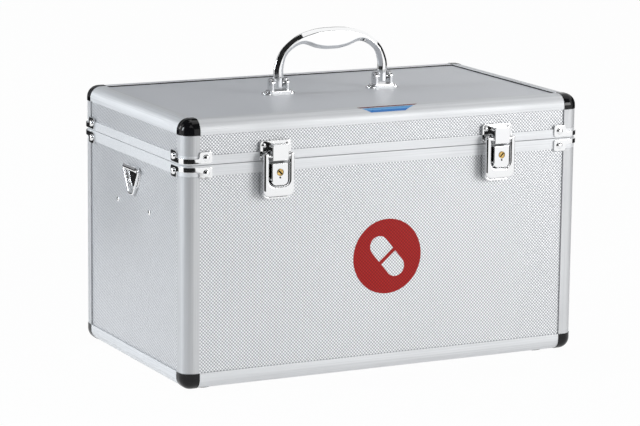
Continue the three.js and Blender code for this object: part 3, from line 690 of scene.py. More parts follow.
def makeBoards():
    for node, name, body, up in (
            ("bottom_panel", "bottom_board", "case", -1), ("lid_top_panel", "lid_top_board", "lid", 1)):
        bm = skinned(blockMesh(*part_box(node)), (0, 0, up))
        finishPiece(name, bm, body, "smooth_panel", smoothSheet, lining, node=node)

    # a black bead round the top panel stands in for the shadow gap between panel and strips: painted
    # shade
    shadeBead = {"width": 0.0005, "height": 0.0009, "sunk": 0.0002, "radius": 0.0008}
    inset, topZ = case["flange"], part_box("lid_top_panel")[1].z
    bm = ringMesh(halfWidth - inset, halfDepth - inset, shadeBead["radius"], [0, shadeBead["width"]])[0]
    raised(bm, topZ - shadeBead["sunk"], topZ + shadeBead["height"])
    finishPiece("lid_top_shade_bead", bm, "lid", "foot_rubber", blackRubber)

    low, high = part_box("lid_skirt")
    bm = raised(caseRing(case["panelInset"], panelRear)[0], low.z, high.z)
    darkened(bm, lambda place: insetOf(place) > panelRear - weld)
    dress("lid_skirt", "board", bm, "lid", "embossed_panel", embossedSheet, lining)


makeSidePanels()
makeBoards()
print("panels made")


# Ball corners and feet

def makeCaps():
    cap = {"proud": 0.0004, "wall": 0.0077}
    flange, proud = case["flange"], cap["proud"]
    size = 4 * flange
    for level, body, up in (("bottom_cap_", "case", 1), ("top_cap_", "lid", -1)):
        for name in corners:
            low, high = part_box(level + name)
            bm = blockMesh([-proud] * 3, [size] * 3)
            roundEdges(bm, bm.edges[:], case["cornerRadius"] + proud, 10)
            for direction, limit in zip(Matrix.Identity(3), (flange, flange, high.z - low.z - proud)):
                sliced(bm, direction * limit, direction, True)
            facedOut(bm)
            outside = bm.faces[:][0]  # outwards is away from the middle of the block
            if outside.normal.dot(outside.calc_center_median() - Vector([size / 2] * 3)) < 0:
                bmesh.ops.reverse_faces(bm, faces=bm.faces)
            bmesh.ops.solidify(bm, geom=bm.faces[:], thickness=cap["wall"])
            if up < 0:
                reshaped(bm, (0, 1, 0), (1, 0, 0), (0, 0, -1))
            atSpot(bm, name, caseBottomZ if up > 0 else caseTopZ)
            dress(level + name, "moulding", bm, body, "corner_plastic", blackPlastic)


def makeFeet():
    foot = {"taper": 0.001, "taperStart": 0.7, "edge": 0.0006, "dish": 0.0008, "dishRadius": 0.0048}
    dish, dishRadius, edge = foot["dish"], foot["dishRadius"], foot["edge"]
    for name in corners:
        low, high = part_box("foot_" + name)
        radius, height = (high.x - low.x) / 2, high.z - low.z
        lip = radius - foot["taper"]
        profile = [
            (0, dish), (dishRadius, dish), (dishRadius + edge, 0), (lip - edge, 0), (lip, edge),
            (radius, height * foot["taperStart"]), (radius, height), (0, height),
        ]
        bm = moved(turnedMesh(profile, 40), (*((low + high) / 2).xy, low.z))
        dress("foot_" + name, "pad", bm, "case", "foot_rubber", blackRubber)


makeCaps()
makeFeet()
print("corners and feet made")


# Forms that several fittings share

def sweptMesh(stations, around, closed=False):  # bridged sections, square if they have four sides
    bm = bmesh.new()
    loops = []
    radius, turn = (sqrt(2), pi / 4) if around == 4 else (1, 0)
    turn = Matrix.Rotation(turn, 4, "Z")
    for centre, across, depth, power in stations:
        verts = bmesh.ops.create_circle(
            bm, cap_ends=False, radius=radius, segments=around, matrix=turn)["verts"]
        for vert in verts:
            shares = [copysign(abs(c) ** power, c) for c in vert.co.xy]
            vert.co = Vector(centre) + shares[0] * Vector(across) + shares[1] * Vector(depth)
        loops.append(list({e for v in verts for e in v.link_edges}))
    if closed:
        loops.append(loops[0])
    for first, second in zip(loops, loops[1:]):
        bmesh.ops.bridge_loops(bm, edges=first + second)
    if not closed:
        bmesh.ops.holes_fill(bm, edges=[e for e in bm.edges if e.is_boundary], sides=0)
    return facedOut(bm)


def smoothPath(points, steps):  # points joined by a curve whose handles follow their neighbours
    path = []
    knots = [Vector(p) for p in points]
    for index, (here, after) in enumerate(zip(knots, knots[1:])):
        before, beyond = knots[max(index - 1, 0)], knots[min(index + 2, len(knots) - 1)]
        handles = here + (after - before) / 6, after - (beyond - here) / 6
        curve = geometry.interpolate_bezier(here, *handles, after, steps + 1)
        path += curve if index == 0 else curve[1:]
    return path


def domeMesh(radius, height, rimHeight=0.0003, flatShare=0.0):  # rivet head standing on the XY plane
    steps = 5
    profile = [(0, height)]
    for step in range(steps + 1):
        angle = pi / 2 * step / steps
        spread = flatShare + (1 - flatShare) * sin(angle)
        profile.append((radius * spread, rimHeight + (height - rimHeight) * cos(angle)))
    return turnedMesh([*profile, (radius, 0), (0, 0)], 20)


def rivetOut(radius, height, place):  # rivet head on a wall that faces the front
    return moved(domeMesh(radius, height), place, quarterX)


def rivetPair(radius, height, spread, depth, z):
    return together(*(rivetOut(radius, height, (x, depth, z)) for x in (-spread, spread)))


def bendRoundCorner(bm, radius):  # bends a flat strip, drawn along X, round an upright corner
    half = radius * pi / 4
    steps = case["arcSegments"]
    for step in range(steps + 1):
        sliced(bm, (-half + 2 * half * step / steps, 0, 0), (1, 0, 0))
    for vert in bm.verts:
        along, depth, height = vert.co
        if along > half:
            vert.co = (radius + along - half, depth, height)
        elif along < -half:
            vert.co = (depth, radius - along - half, height)
        else:
            angle = along / radius - 3 * pi / 4
            reach = radius - depth
            vert.co = (radius + reach * cos(angle), radius + reach * sin(angle), height)


# Corner braces

def makeBraces():
    brace = {
        "tabStart": 0.014, "band": 0.0046, "thickness": 0.0011, "seat": 0.0002, "corner": 0.0024,
        "fillet": 0.002, "rim": 0.0004, "rivet": 0.0031, "rivetHeight": 0.0019, "rivetPlace": 0.0208,
    }
    radius, band, corner = case["cornerRadius"], brace["band"], brace["corner"]
    flat = radius * pi / 4 - radius  # from a distance along the wall to one along the strip
    proud = brace["seat"] + brace["thickness"]
    for level, body, up in (("lower_brace_", "case", -1), ("upper_brace_", "lid", 1)):
        for name in corners:
            low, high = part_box(level + name)
            height = high.z - low.z
            end, start = high.x - low.x - proud + flat, brace["tabStart"] + flat
            points = [
                (-end, 0), (end, 0), (end, height), (start, height), (start, band), (-start, band),
                (-start, height), (-end, height),
            ]
            radii = [corner] * 4 + [brace["fillet"]] * 2 + [corner] * 2
            bm = plateMesh(points, radii, brace["thickness"], brace["rim"], 2, 5)
            bendRoundCorner(moved(bm, (0, -brace["seat"], 0)), radius)
            place = (brace["rivetPlace"], -proud, height / 2)
            heads = [rivetOut(brace["rivet"], brace["rivetHeight"], place) for _ in range(2)]
            reshaped(heads[1], (0, 1, 0), (1, 0, 0), (0, 0, 1))  # the same head on the other wall
            together(bm, *heads)
            if up < 0:
                reshaped(bm, (1, 0, 0), (0, 1, 0), (0, 0, -1))
            atSpot(bm, name, low.z if up > 0 else high.z)
            dress(level + name, "stamping", bm, body, "bright_chrome", chrome)


makeBraces()


# Hasp locks

def makeKeeper(side, middleX):
    keeper = {
        "plate": 0.0015, "corner": 0.003, "rim": 0.0005, "hump": 0.0158, "humpDrop": 0.0018,
        "humpFoot": 0.0006, "humpCorner": 0.0024, "humpRim": 0.0015, "proud": 0.012, "rivet": 0.0022,
        "rivetHeight": 0.0015, "rivetX": 0.0117, "rivetDrop": 0.0042,
    }
    node, corner = "latch_keeper_" + side, keeper["corner"]
    low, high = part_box(node)
    width, _, height = high - low
    radii = [corner / 2] * 2 + [corner] * 2
    plate = plateMesh(rectangle(width, height), radii, keeper["plate"], keeper["rim"], 3)
    points = rectangle(keeper["hump"], height - keeper["humpDrop"])
    radii = [keeper["humpFoot"]] * 2 + [keeper["humpCorner"]] * 2
    hump = plateMesh(points, radii, keeper["proud"], keeper["humpRim"], 4, 5)
    place = -keeper["plate"], height - keeper["rivetDrop"]
    heads = rivetPair(keeper["rivet"], keeper["rivetHeight"], keeper["rivetX"], *place)
    piece = moved(together(plate, hump, heads), (middleX, frontY, low.z))
    dress(node, "stamping", piece, "lid", "bright_chrome", chrome)


def makeLockBase(side, middleX, plugZ):
    base = {
        "plate": 0.0015, "plateDrop": 0.0016, "wall": 0.0015, "wallProud": 0.0056, "wallRim": 0.0005,
        "corner": 0.0062, "endCorner": 0.0004, "hump": (0.0158, 0.0199), "humpDrop": 0.0005,
        "humpCorner": 0.0042, "humpTop": 0.0006, "humpRim": 0.0013, "proud": 0.011, "bore": 0.0034,
        "boreDepth": 0.0035, "dimple": 0.0009, "dimpleDrop": 0.0047, "toolLength": 0.004,
    }
    node, wall, corner, end = "latch_base_" + side, base["wall"], base["corner"], base["endCorner"]
    low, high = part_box(node)
    width, _, height = high - low
    half, top = width / 2, height - base["plateDrop"]
    points = rectangle(width - wall, top - wall, wall / 2)
    plate = plateMesh(points, [corner - wall / 2] * 2, base["plate"])
    points = [
        (-half, 0), (half, 0), (half, top), (half - wall, top), (half - wall, wall),
        (wall - half, wall), (wall - half, top), (-half, top),
    ]
    radii = [corner] * 2 + [end] * 2 + [corner - wall] * 2 + [end] * 2
    cup = plateMesh(points, radii, base["wallProud"], base["wallRim"])
    wide, tall = base["hump"]
    radii = [base["humpCorner"]] * 2 + [base["humpTop"]] * 2
    points = rectangle(wide, tall, height - base["humpDrop"] - tall)
    hump = plateMesh(points, radii, base["proud"], base["humpRim"], 4)
    dimpleZ = plugZ - low.z - base["dimpleDrop"]
    for radius, z, segments in ((base["bore"], plugZ - low.z, 32), (base["dimple"], dimpleZ, 12)):
        tool = rodMesh(radius, base["toolLength"], segments)
        hump = cutMesh(hump, moved(tool, (0, base["boreDepth"] - base["proud"], z), quarterX))
    # the dimple's faces take the near-black second material: painted shade in the hollow
    reach = base["dimple"] * 1.05  # takes in the dimple's wall
    darkened(hump, lambda place: hypot(place.x, place.z - dimpleZ) < reach)
    piece = moved(together(plate, cup, hump), (middleX, frontY, low.z))
    dress(node, "stamping", piece, "case", "bright_chrome", chrome, paintedRecessShade)


def makeHasp(side, middleX):
    hasp = {
        "window": 0.0194, "bar": 0.0096, "thickness": 0.004, "corner": 0.0062, "windowCorner": 0.0052,
        "tipShare": 0.96, "rim": 0.0026, "backRim": 0.0008, "rod": 0.002, "rodDrop": 0.0028,
    }
    node, thickness, bar = "latch_hasp_" + side, hasp["thickness"], hasp["bar"]
    low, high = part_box(node)
    outer, inner, rise = (high.x - low.x) / 2, hasp["window"] / 2, high.z - low.z
    points = [
        (-outer, 0), (outer, 0), (outer, rise), (inner, rise), (inner, bar), (-inner, bar),
        (-inner, rise), (-outer, rise),
    ]
    arm = (outer - inner) / 2
    tips = [arm * hasp["tipShare"]] * 2
    radii = [hasp["corner"]] * 2 + tips + [hasp["windowCorner"]] * 2 + tips
    bm = plateMesh(points, radii, thickness, hasp["rim"], 4, 7, hasp["backRim"])
    rod = crossRod((0, -thickness / 2, rise - hasp["rodDrop"]), hasp["rod"], 2 * inner + arm, 24)
    piece = moved(together(bm, rod), (middleX, high.y, low.z))
    dress(node, "casting", piece, side + "_hasp", "bright_chrome", chrome)


def makeLockPlug(side, middleX, plugZ, lean):
    plug = {
        "shoulder": 0.0006, "shoulderShare": 0.5, "edge": 0.0004, "ring": (0.74, 0.68, 0.62),
        "ringDepth": 0.0003, "slot": (0.0007, 0.0025), "slotDepth": 0.0025, "skin": 0.0002,
        "over": 0.0001,
    }
    node = "lock_cylinder_" + side
    low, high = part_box(node)
    radius, depth = (high.x - low.x) / 2, high.y - low.y
    neck, middle, edge = radius - plug["shoulder"], depth * plug["shoulderShare"], plug["edge"]
    ring = [radius * share for share in plug["ring"]]
    profile = [
        (0, 0), (neck, 0), (neck, middle), (radius, middle), (radius, depth - edge),
        (radius - edge, depth), (ring[0], depth), (ring[1], depth - plug["ringDepth"]),
        (ring[2], depth), (0, depth),
    ]
    (x, y), over, bottom = plug["slot"], plug["over"], depth - plug["slotDepth"]
    slot = moved(blockMesh((-x, -y, bottom), (x, y, depth + y)), turn=(lean, "Z"))
    bm = cutMesh(turnedMesh(profile, 40), slot)
    # the faces inside the key slot take the near-black second material: painted shade in the recess
    darkened(bm, lambda place: (
        place.xy.length < y + over and bottom - over < place.z < depth - plug["skin"]))
    moved(bm, (middleX, high.y, plugZ), quarterX)
    dress(node, "plug", bm, side + "_lock", "key_brass", brass, paintedRecessShade)


def makeHaspLocks():
    for side, lean in (("left", pi / 4), ("right", -pi / 4)):
        middleX = sum(corner.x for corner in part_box("latch_keeper_" + side)) / 2
        plugLow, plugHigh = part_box("lock_cylinder_" + side)
        plugZ = plugHigh.z - (plugHigh.x - plugLow.x) / 2
        makeKeeper(side, middleX)
        makeLockBase(side, middleX, plugZ)
        makeHasp(side, middleX)
        makeLockPlug(side, middleX, plugZ, lean)


makeHaspLocks()
print("braces and locks made")


# Carrying handle

handle = {
    "legWidth": 0.010, "end": 0.004, "rise": 0.049, "shoulder": 0.005, "thickness": 0.008,
    "archRound": 0.87, "chamfer": 0.0032, "soften": 0.0018,
}
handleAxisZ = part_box("carrying_handle")[0].z + handle["end"]


def makeHandle():
    waveShares = [
        (1, 0.1), (1, 0.3), (0.91, 0.54), (0.63, 0.705), (0.34, 0.625), (0.14, 0.588), (0, 0.585)]
    angleShares = [0.0, 0.14, 0.36, 0.62, 0.82, 0.93, 1.0]  # of a quarter turn, for the outer side
    low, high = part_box("carrying_handle")
    outer, end = (high.x - low.x) / 2, handle["end"]
    inner, rise, shoulder = outer - handle["legWidth"], handle["rise"], handle["shoulder"]
    innerSide = [(inner, -end)] + [(inner * x, rise * z) for x, z in waveShares]
    outerSide = [(outer, -end)]
    for share in angleShares:
        across, up = (max(wave(share * pi / 2), 0) ** handle["archRound"] for wave in (cos, sin))
        outerSide.append((outer * across, shoulder + (rise - shoulder) * up))
    halves = []
    for points in (innerSide, outerSide):
        whole = points + [(-x, z) for x, z in reversed(points[:-1])]
        halves.append(smoothPath([(x, 0, z) for x, z in whole], 6))
    bm = sweptMesh([
        ((inside + outside) / 2, (outside - inside) / 2, (0, handle["thickness"] / 2, 0), 1)
        for inside, outside in zip(*halves)], 4)
    bevels = (1.1, 2, handle["chamfer"], 1), (0.5, 1.1, handle["soften"], 3)
    for least, most, width, segments in bevels:  # first the sharp edges, then what they leave
        alongBar = [
            e for e in bm.edges if least < e.calc_face_angle(0) < most
            and all(f.calc_center_median().z > weld - end for f in e.link_faces)]
        roundEdges(bm, alongBar, width, segments)
        bm.normal_update()
    moved(bm, (0, middleY, handleAxisZ))
    dress("carrying_handle", "casting", bm, "handle", "bright_chrome", chrome, sharpAngle=40)


def makeBrackets():
    bracket = {
        "plate": 0.0018, "corner": 0.0045, "inset": 0.0008, "saddle": 0.0038, "saddleEnd": 0.0014,
        "saddleCorner": 0.0012, "rim": 0.0005, "ear": 0.0028, "earRadius": 0.0045, "earRound": 0.98,
        "play": 0.0012, "edge": 0.0004, "pin": 0.002, "rivet": 0.0023, "rivetHeight": 0.0016,
        "rivetPlace": 0.0132, "sunk": 0.0001,
    }
    edge, radius = bracket["edge"], bracket["earRadius"]
    gap = handle["legWidth"] / 2 + bracket["play"]
    outside = gap + bracket["ear"]
    for side in ("left", "right"):
        node = "handle_bracket_" + side
        low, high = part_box(node)
        width, depth, _ = high - low
        saddle = 2 * (outside + bracket["saddleEnd"])
        parts = []
        for across, along, corner, rise in (
                (width, depth - bracket["inset"], bracket["corner"], bracket["plate"]),
                (saddle, depth, bracket["saddleCorner"], bracket["saddle"])):
            slab = plateMesh(rectangle(across, along, -along / 2), [corner] * 4, rise, bracket["rim"])
            parts.append(moved(slab, turn=(-pi / 2, "X")))
        axisZ = handleAxisZ - low.z
        radii = [0, 0] + [radius * bracket["earRound"]] * 2
        for x in (-outside, gap):
            points = rectangle(2 * radius, axisZ + radius)
            ear = plateMesh(points, radii, bracket["ear"], edge, 2, 8, edge)
            parts.append(moved(ear, (x, 0, 0), quarterZ))
        parts.append(crossRod((0, 0, axisZ), bracket["pin"], 2 * (outside + edge), 24, edge))
        for x in (-bracket["rivetPlace"], bracket["rivetPlace"]):
            head = domeMesh(bracket["rivet"], bracket["rivetHeight"])
            parts.append(moved(head, (x, 0, bracket["plate"] - bracket["sunk"])))
        piece = moved(together(*parts), ((low.x + high.x) / 2, middleY, low.z))
        dress(node, "casting", piece, "lid", "bright_chrome", satinChrome)


makeHandle()
makeBrackets()


# Strap rings

def wireMesh(wire, drop):  # closed ring, narrower below, with its upper side along X
    ring = {
        "topWidth": 0.038, "bottomWidth": 0.011, "corner": 0.0026, "squareness": 0.8, "tightest": 0.7,
    }
    top, bottom = ((ring[key] - wire) / 2 for key in ("topWidth", "bottomWidth"))
    outline = [(-bottom, 0, -drop), (bottom, 0, -drop), (top, 0, 0), (-top, 0, 0)]
    course = bmesh.new()
    face = roundedOutline(course, outline, [ring["corner"]] * 4, 5)[0]
    path = [vert.co.copy() for vert in face.verts]
    course.free()
    stations = []
    for index, point in enumerate(path):
        ahead = (path[(index + 1) % len(path)] - point).normalized()
        behind = (point - path[index - 1]).normalized()
        tangent = (ahead + behind).normalized()
        across = tangent.cross(Vector((0, 1, 0))).normalized()
        widen = 1 / max(ahead.dot(tangent), ring["tightest"])
        stations.append((point, across * wire / 2 * widen, (0, wire / 2, 0), ring["squareness"]))
    return sweptMesh(stations, 16, closed=True)


def strapPlateMesh(barrel):  # riveted plate, curled over the ring's upper side
    plate = {
        "top": 0.033, "bottom": 0.024, "drop": 0.017, "thickness": 0.0012, "corner": 0.003,
        "topCorner": 0.0012, "rim": 0.0004, "curl": 0.0278, "curlEdge": 0.0003, "neck": 0.0006,
        "rivet": 0.0024, "rivetHeight": 0.0009, "rivetInset": 0.0042,
    }
    thickness, drop, inset = plate["thickness"], plate["drop"], plate["rivetInset"]
    half, low, reach = plate["top"] / 2, plate["bottom"] / 2, plate["curl"] / 2
    points = [(-low, -drop), (low, -drop), (half, -barrel), (-half, -barrel)]
    radii = [plate["corner"]] * 2 + [plate["topCorner"]] * 2
    bm = plateMesh(points, radii, thickness, plate["rim"], 2, 5)
    curl = crossRod((0, -barrel, 0), barrel, plate["curl"], 28, plate["curlEdge"])
    neck = blockMesh((-reach, -thickness, -barrel - plate["neck"]), (reach, 0, 0))
    heads = rivetPair(plate["rivet"], plate["rivetHeight"], low - inset, -thickness, inset - drop)
    return together(bm, curl, neck, heads)


def makeStrapRings():
    strap = {"wire": 0.0024, "play": 0.0005, "barrelWall": 0.0009}
    wire = strap["wire"]
    barrel = wire / 2 + strap["play"] + strap["barrelWall"]
    for side in ("left", "right"):
        low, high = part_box("strap_ring_" + side)
        ring = moved(wireMesh(wire, high.z - low.z - wire), (0, -barrel, 0))
        for bm, node, body, word in (
                (ring, "strap_ring_", side + "_ring", "wire"),
                (strapPlateMesh(barrel), "strap_plate_", "case", "stamping")):
            atSpot(moved(bm, (0, case["panelInset"], high.z - wire / 2)), side)
            dress(node + side, word, bm, body, "bright_chrome", chrome)


makeStrapRings()
print("handle and rings made")


# Rear hinge

def makeHinge():
    hinge = {
        "knuckle": 0.003, "bore": 0.0012, "gap": 0.0004, "leaf": 0.0012, "seat": 0.0001, "edge": 0.0002,
        "count": 17, "screw": (0.0021, 0.0008, 0.0002, 0.45), "screwPitch": 0.04, "pinEdge": 0.0003,
    }
    radius, bore, gap, edge = hinge["knuckle"], hinge["bore"], hinge["gap"], hinge["edge"]
    pinLow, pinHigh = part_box("hinge_pin")
    axis, length = (pinLow + pinHigh) / 2, pinHigh.x - pinLow.x
    pitch = length / hinge["count"]
    span = pitch - gap
    profile = [
        (bore, 0), (radius - edge, 0), (radius, edge), (radius, span - edge), (radius - edge, span),
        (bore, span), (bore, 0),
    ]
    inner = rearY + hinge["seat"]
    outer = inner + hinge["leaf"]
    screws = int(length / hinge["screwPitch"])
    leaves = ("hinge_leaf_body", "case", 0, -1), ("hinge_leaf_lid", "lid", 1, 1)
    for node, body, first, up in leaves:
        low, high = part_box(node)
        near, far = axis.z + up * (radius + gap), high.z if up > 0 else low.z
        bm = blockMesh((pinLow.x, inner, min(near, far)), (pinHigh.x, outer, max(near, far)), edge)
        for index in range(first, hinge["count"], 2):
            start = pinLow.x + index * pitch + gap / 2
            knuckle = moved(turnedMesh(profile, 24), (start, axis.y, axis.z), quarterY)
            tabLow, tabHigh = sorted((near, axis.z))
            together(bm, knuckle, blockMesh((start, inner, tabLow), (start + span, outer, tabHigh)))
        for index in range(screws + 1):
            place = (axis.x + (index - screws / 2) * hinge["screwPitch"], outer, (near + far) / 2)
            together(bm, moved(domeMesh(*hinge["screw"]), place, (-pi / 2, "X")))
        dress(node, "stamping", bm, body, "hinge_metal", hingeSteel)
    pin = crossRod(axis, (pinHigh.z - pinLow.z) / 2, length, 20, hinge["pinEdge"])
    dress("hinge_pin", "rod", pin, "case", "hinge_metal", hingeSteel)


makeHinge()


# Lift-out tray

def makeTray():
    tray = {
        "wall": 0.002, "lip": 0.0025, "lipHeight": 0.0025, "lipLift": 0.0001, "radius": 0.008,
        "edge": 0.0006, "fold": 0.0012, "row": 0.46, "columns": (0.25, 0.5, 0.75),
        "dividerDrop": 0.004, "dividerEdge": 0.0004, "step": 0.0002,
    }
    low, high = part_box("tray")
    wall, lip, half, edge = tray["wall"], tray["lip"], tray["wall"] / 2, tray["dividerEdge"]
    width, depth, height = high - low
    tub = raised(roundedFace(width / 2 - lip, depth / 2 - lip, tray["radius"]), 0, height)
    top = lookingUp(tub)
    bmesh.ops.inset_region(tub, faces=top, thickness=wall, use_even_offset=True)
    roundEdges(tub, rimOf(pull(tub, top, (0, 0, wall - height))), tray["fold"], 3)
    roundEdges(tub, [e for e in tub.edges if max(v.co.z for v in e.verts) < wall / 4], tray["fold"], 3)
    rim = ringMesh(width / 2, depth / 2, tray["radius"] + lip, [0, lip + half])[0]
    raised(rim, 0, tray["lipHeight"])
    level = [e for e in rim.edges if abs(e.verts[0].co.z - e.verts[1].co.z) < weld]
    roundEdges(rim, [e for e in level if e.calc_face_angle(0) > 1], tray["edge"], 2)
    moved(rim, (0, 0, height - tray["lipHeight"] + tray["lipLift"]))
    innerX, innerY = width / 2 - lip - wall, depth / 2 - lip - wall
    rowY, topZ = innerY * (2 * tray["row"] - 1), height - tray["dividerDrop"]
    dividers = blockMesh((-innerX - half, rowY - half, half), (innerX + half, rowY + half, topZ), edge)
    for share in tray["columns"]:
        x = innerX * (2 * share - 1)
        column = (x - half, -innerY - half, half), (x + half, rowY, topZ - tray["step"])
        together(dividers, blockMesh(*column, edge))
    piece = moved(together(tub, rim, moved(dividers, (0, middleY, 0))), (0, 0, low.z))
    dress("tray", "moulding", piece, "tray", "tray_plastic", trayPlastic)


makeTray()
print("hinge and tray made")


# Small fasteners on the side walls, print and label

def makeSideRivets():
    rivet = {"radius": 0.0025, "height": 0.0011, "spread": 0.036, "fromFloor": 0.150}
    inset = case["panelInset"]
    for side in ("left", "right"):
        heads = rivetPair(rivet["radius"], rivet["height"], rivet["spread"], inset, rivet["fromFloor"])
        finishPiece("ledge_rivets_" + side, atSpot(heads, side), "case", "bright_chrome", chrome)


def makeEmblem():  # a plain roundel with a capsule left clear in it
    emblem = {
        "radius": 0.0345, "centreX": 0.002, "centreZ": 0.1083, "thickness": 0.00012, "capsule": 0.044,
        "capsuleWidth": 0.0185, "capsuleRound": 0.999, "band": 0.0032, "lean": 40,
    }
    thickness, width = emblem["thickness"], emblem["capsuleWidth"]
    start, end = emblem["band"] / 2, emblem["capsule"] / 2
    radii = [0, 0] + [width / 2 * emblem["capsuleRound"]] * 2
    disc = rodMesh(emblem["radius"], thickness, 96)
    for turn in (0, pi):  # each half of the capsule, cut right through
        tool = plateMesh(rectangle(width, end - start, start), radii, 4 * thickness, segments=14)
        moved(tool, (0, -thickness, 2.5 * thickness), quarterX)
        disc = cutMesh(disc, moved(tool, turn=(radians(emblem["lean"]) + turn, "Z")))
    moved(disc, (emblem["centreX"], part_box("front_panel")[0].y, emblem["centreZ"]), quarterX)
    finishPiece("emblem_print", disc, "case", "embossed_panel", redPrint, weighted=False)


def makeLabel():  # a small bare label, folded over the lid's rounded front edge
    label = {
        "topWidth": 0.061, "bottomWidth": 0.0346, "lean": 0.002, "centreX": 0.0035,
        "thickness": 0.00014, "lift": 0.00003, "start": 38, "end": 82, "rows": 10,
    }
    radius, lean, rows = case["cornerRadius"], label["lean"], label["rows"]
    start = radians(label["start"])
    tall = radius * (radians(label["end"]) - start)
    half, low = label["topWidth"] / 2, label["bottomWidth"] / 2
    points = [(-low - lean, 0), (low - lean, 0), (half, tall), (-half, tall)]
    bm = plateMesh(points, (), label["thickness"])
    for row in range(1, rows):
        sliced(bm, (0, 0, tall * row / rows), (0, 0, 1))
    layer = bm.loops.layers.uv.new("flat")
    for face in bm.faces:
        for loop in face.loops:
            loop[layer].uv = (loop.vert.co.x / label["topWidth"] + 0.5, loop.vert.co.z / tall)
    for vert in bm.verts:
        angle = start + vert.co.z / radius
        reach = radius - vert.co.y + label["lift"]
        vert.co = (
            label["centreX"] + vert.co.x, frontY + radius - reach * cos(angle),
            caseTopZ - radius + reach * sin(angle))
    finishPiece("edge_label", bm, "lid", "edge_extrusion", labelFilm, weighted=False)


makeSideRivets()
makeEmblem()
makeLabel()
print("rivets, print and label made")


# Floor, light and camera

def makeStage():
    stage = {"floor": (0.93, 0.93, 0.935), "reach": 9.0, "white": 0.97, "mirrored": 0.8}
    material, tree, inputs = newMaterial("floor", Roughness=0.75)
    inputs["Base Color"].default_value = (*stage["floor"], 1)
    white = addNode(tree, "Emission", {0: (1, 1, 1, 1), 1: 1.0})
    path = addNode(tree, "LightPath").outputs
    direct = calc(tree, "MULTIPLY", path["Is Camera Ray"], stage["white"])
    mirrored = calc(tree, "MULTIPLY", path["Is Glossy Ray"], stage["mirrored"])
    seen = calc(tree, "MAXIMUM", direct, mirrored)
    plain = tree.nodes["Principled BSDF"].outputs[0]
    mixed = addNode(tree, "MixShader", {0: seen, 1: plain, 2: white.outputs[0]})
    tree.links.new(mixed.outputs[0], tree.nodes["Material Output"].inputs[0])
    bm = bmesh.new()
    bmesh.ops.create_grid(bm, x_segments=2, y_segments=2, size=stage["reach"])
    meshObject("floor", bm, material)


def makeDarkCards():  # black flags beside the set, which only show in reflections
    cards = {  # place, size, the point that each one faces and its shade
        "cameraSide": ((-0.536, -0.548, 0.35), (1.3, 0.7), (-0.126, 0.082, 0.35), 0.004),
        "back": ((-0.12, 0.58, 0.3), (0.85, 0.6), (-0.04, 0, 0.3), 0.38),
        "backLow": ((0.1, 0.56, 0.14), (1.6, 0.28), (0.1, 0, 0.14), 0.01),
        "backHigh": ((-0.1, 0.95, 0.95), (1.7, 0.7), (-0.05, 0, 0.3), 0.02),
        "frontHigh": ((0.66, -1.3, 1.52), (1.5, 1.6), (0, 0, 0.3), 0.02),
        "frontOverhead": ((-0.43, -0.36, 1.35), (0.86, 0.7), (-0.43, -0.36, 0), 0.004),
        "frontLow": ((0.07, -1.22, 0.003), (0.34, 0.55), (0.07, -1.22, 1), 0.01),
        "right": ((0.9, 0.08, 0.3), (0.85, 0.6), (0, 0.08, 0.3), 0.01),
        "overhead": ((-0.45, 0.5, 1.3), (0.9, 0.9), (0, 0, 0.25), 0.02),
        "leftOverhead": ((-0.62, -0.14, 0.98), (1.0, 0.9), (0, 0, 0.28), 0.004),
        "rearOverhead": ((0.53, 0.58, 1.23), (0.5, 0.5), (0, 0, 0.33), 0.01),
        "leftLow": ((-0.39, 0.5, 0.1), (0.28, 0.17), (-0.2, 0, 0.19), 0.02),
    }
    for name, (place, size, target, shade) in cards.items():
        black, _, inputs = newMaterial(name + "Flag", Roughness=0.9)
        inputs["Base Color"].default_value = (shade, shade, shade, 1)
        bm = bmesh.new()
        bmesh.ops.create_grid(bm, x_segments=1, y_segments=1, size=0.5)
        bmesh.ops.scale(bm, vec=(*size, 1), verts=bm.verts)
        turn = (Vector(target) - Vector(place)).to_track_quat("Z", "Y").to_matrix().to_4x4()
        bmesh.ops.transform(bm, matrix=Matrix.Translation(place) @ turn, verts=bm.verts)
        card = meshObject(name + "Card", bm, black)
        card.visible_camera = card.visible_diffuse = card.visible_shadow = False
        card.visible_transmission = card.visible_volume_scatter = False


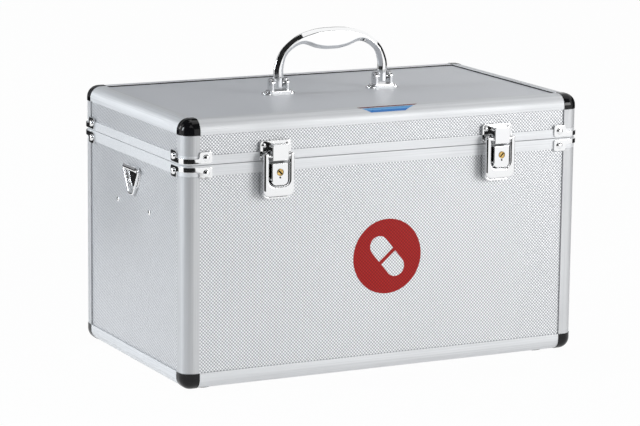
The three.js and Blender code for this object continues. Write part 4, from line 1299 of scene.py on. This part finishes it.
def makeWorld():
    look = {"ambient": (0.86, 0.89, 0.94), "ambientStrength": 0.38, "backdrop": 1.0}
    world = bpy.data.worlds.new("studio")
    bpy.context.scene.world = world
    world.use_nodes = True
    tree = world.node_tree
    ambient = tree.nodes["Background"]
    ambient.inputs[0].default_value = (*look["ambient"], 1)
    ambient.inputs[1].default_value = look["ambientStrength"]
    white = addNode(tree, "Background", {0: (1, 1, 1, 1), 1: look["backdrop"]})
    path = addNode(tree, "LightPath").outputs
    seen = calc(tree, "MAXIMUM", path["Is Camera Ray"], path["Is Glossy Ray"])
    seen = calc(tree, "MAXIMUM", seen, path["Is Transmission Ray"])
    mixed = addNode(tree, "MixShader", {0: seen, 1: ambient.outputs[0], 2: white.outputs[0]})
    tree.links.new(mixed.outputs[0], tree.nodes["World Output"].inputs[0])


def makeLamp(name, place, target, size, power, colour=(1, 1, 1)):
    data = bpy.data.lights.new(name, "AREA")
    data.shape = "RECTANGLE"
    data.size, data.size_y = size
    data.energy = power
    data.color = colour
    lamp = addObject(name, data)
    lamp.location = place
    lamp.rotation_euler = (Vector(target) - Vector(place)).to_track_quat("-Z", "Y").to_euler()


def makeCamera():
    view = {
        "place": (-1.2397, -2.4452, 0.6683), "azimuth": -26.6816, "elevation": 11.1479, "roll": 0.6295,
        "focal": 2981.8, "imageWidth": 640, "sensor": 36.0,
    }
    azimuth, elevation, roll = (radians(view[key]) for key in ("azimuth", "elevation", "roll"))
    forward = -Vector((sin(azimuth) * cos(elevation), -cos(azimuth) * cos(elevation), sin(elevation)))
    right = forward.cross(Vector((0, 0, 1))).normalized()
    up = right.cross(forward)
    tiltedRight = cos(roll) * right + sin(roll) * up
    tiltedUp = cos(roll) * up - sin(roll) * right
    data = bpy.data.cameras.new("camera")
    data.sensor_width = view["sensor"]
    data.lens = view["focal"] / view["imageWidth"] * view["sensor"]
    camera = addObject("camera", data)
    turned = Matrix((tiltedRight, tiltedUp, -forward)).transposed()
    camera.matrix_world = Matrix.Translation(view["place"]) @ turned.to_4x4()
    bpy.context.scene.camera = camera


makeStage()
makeDarkCards()
makeWorld()
makeLamp("key", (1.7, -2.3, 0.85), (0, 0, 0.14), (1.2, 1.2), 34)
makeLamp("fill", (-2.6, 0.4, 0.9), (0, 0, 0.14), (0.5, 1.0), 30, (0.88, 0.94, 1))
makeLamp("rear", (-1.3, 2.3, 0.7), (0, 0, 0.14), (1.2, 0.8), 13)
makeLamp("top", (0.2, 0.8, 2.6), (0, 0, 0.2), (2.0, 1.6), 4)
makeCamera()
bpy.context.scene.view_settings.view_transform = "Standard"
print("stage, light and camera made")
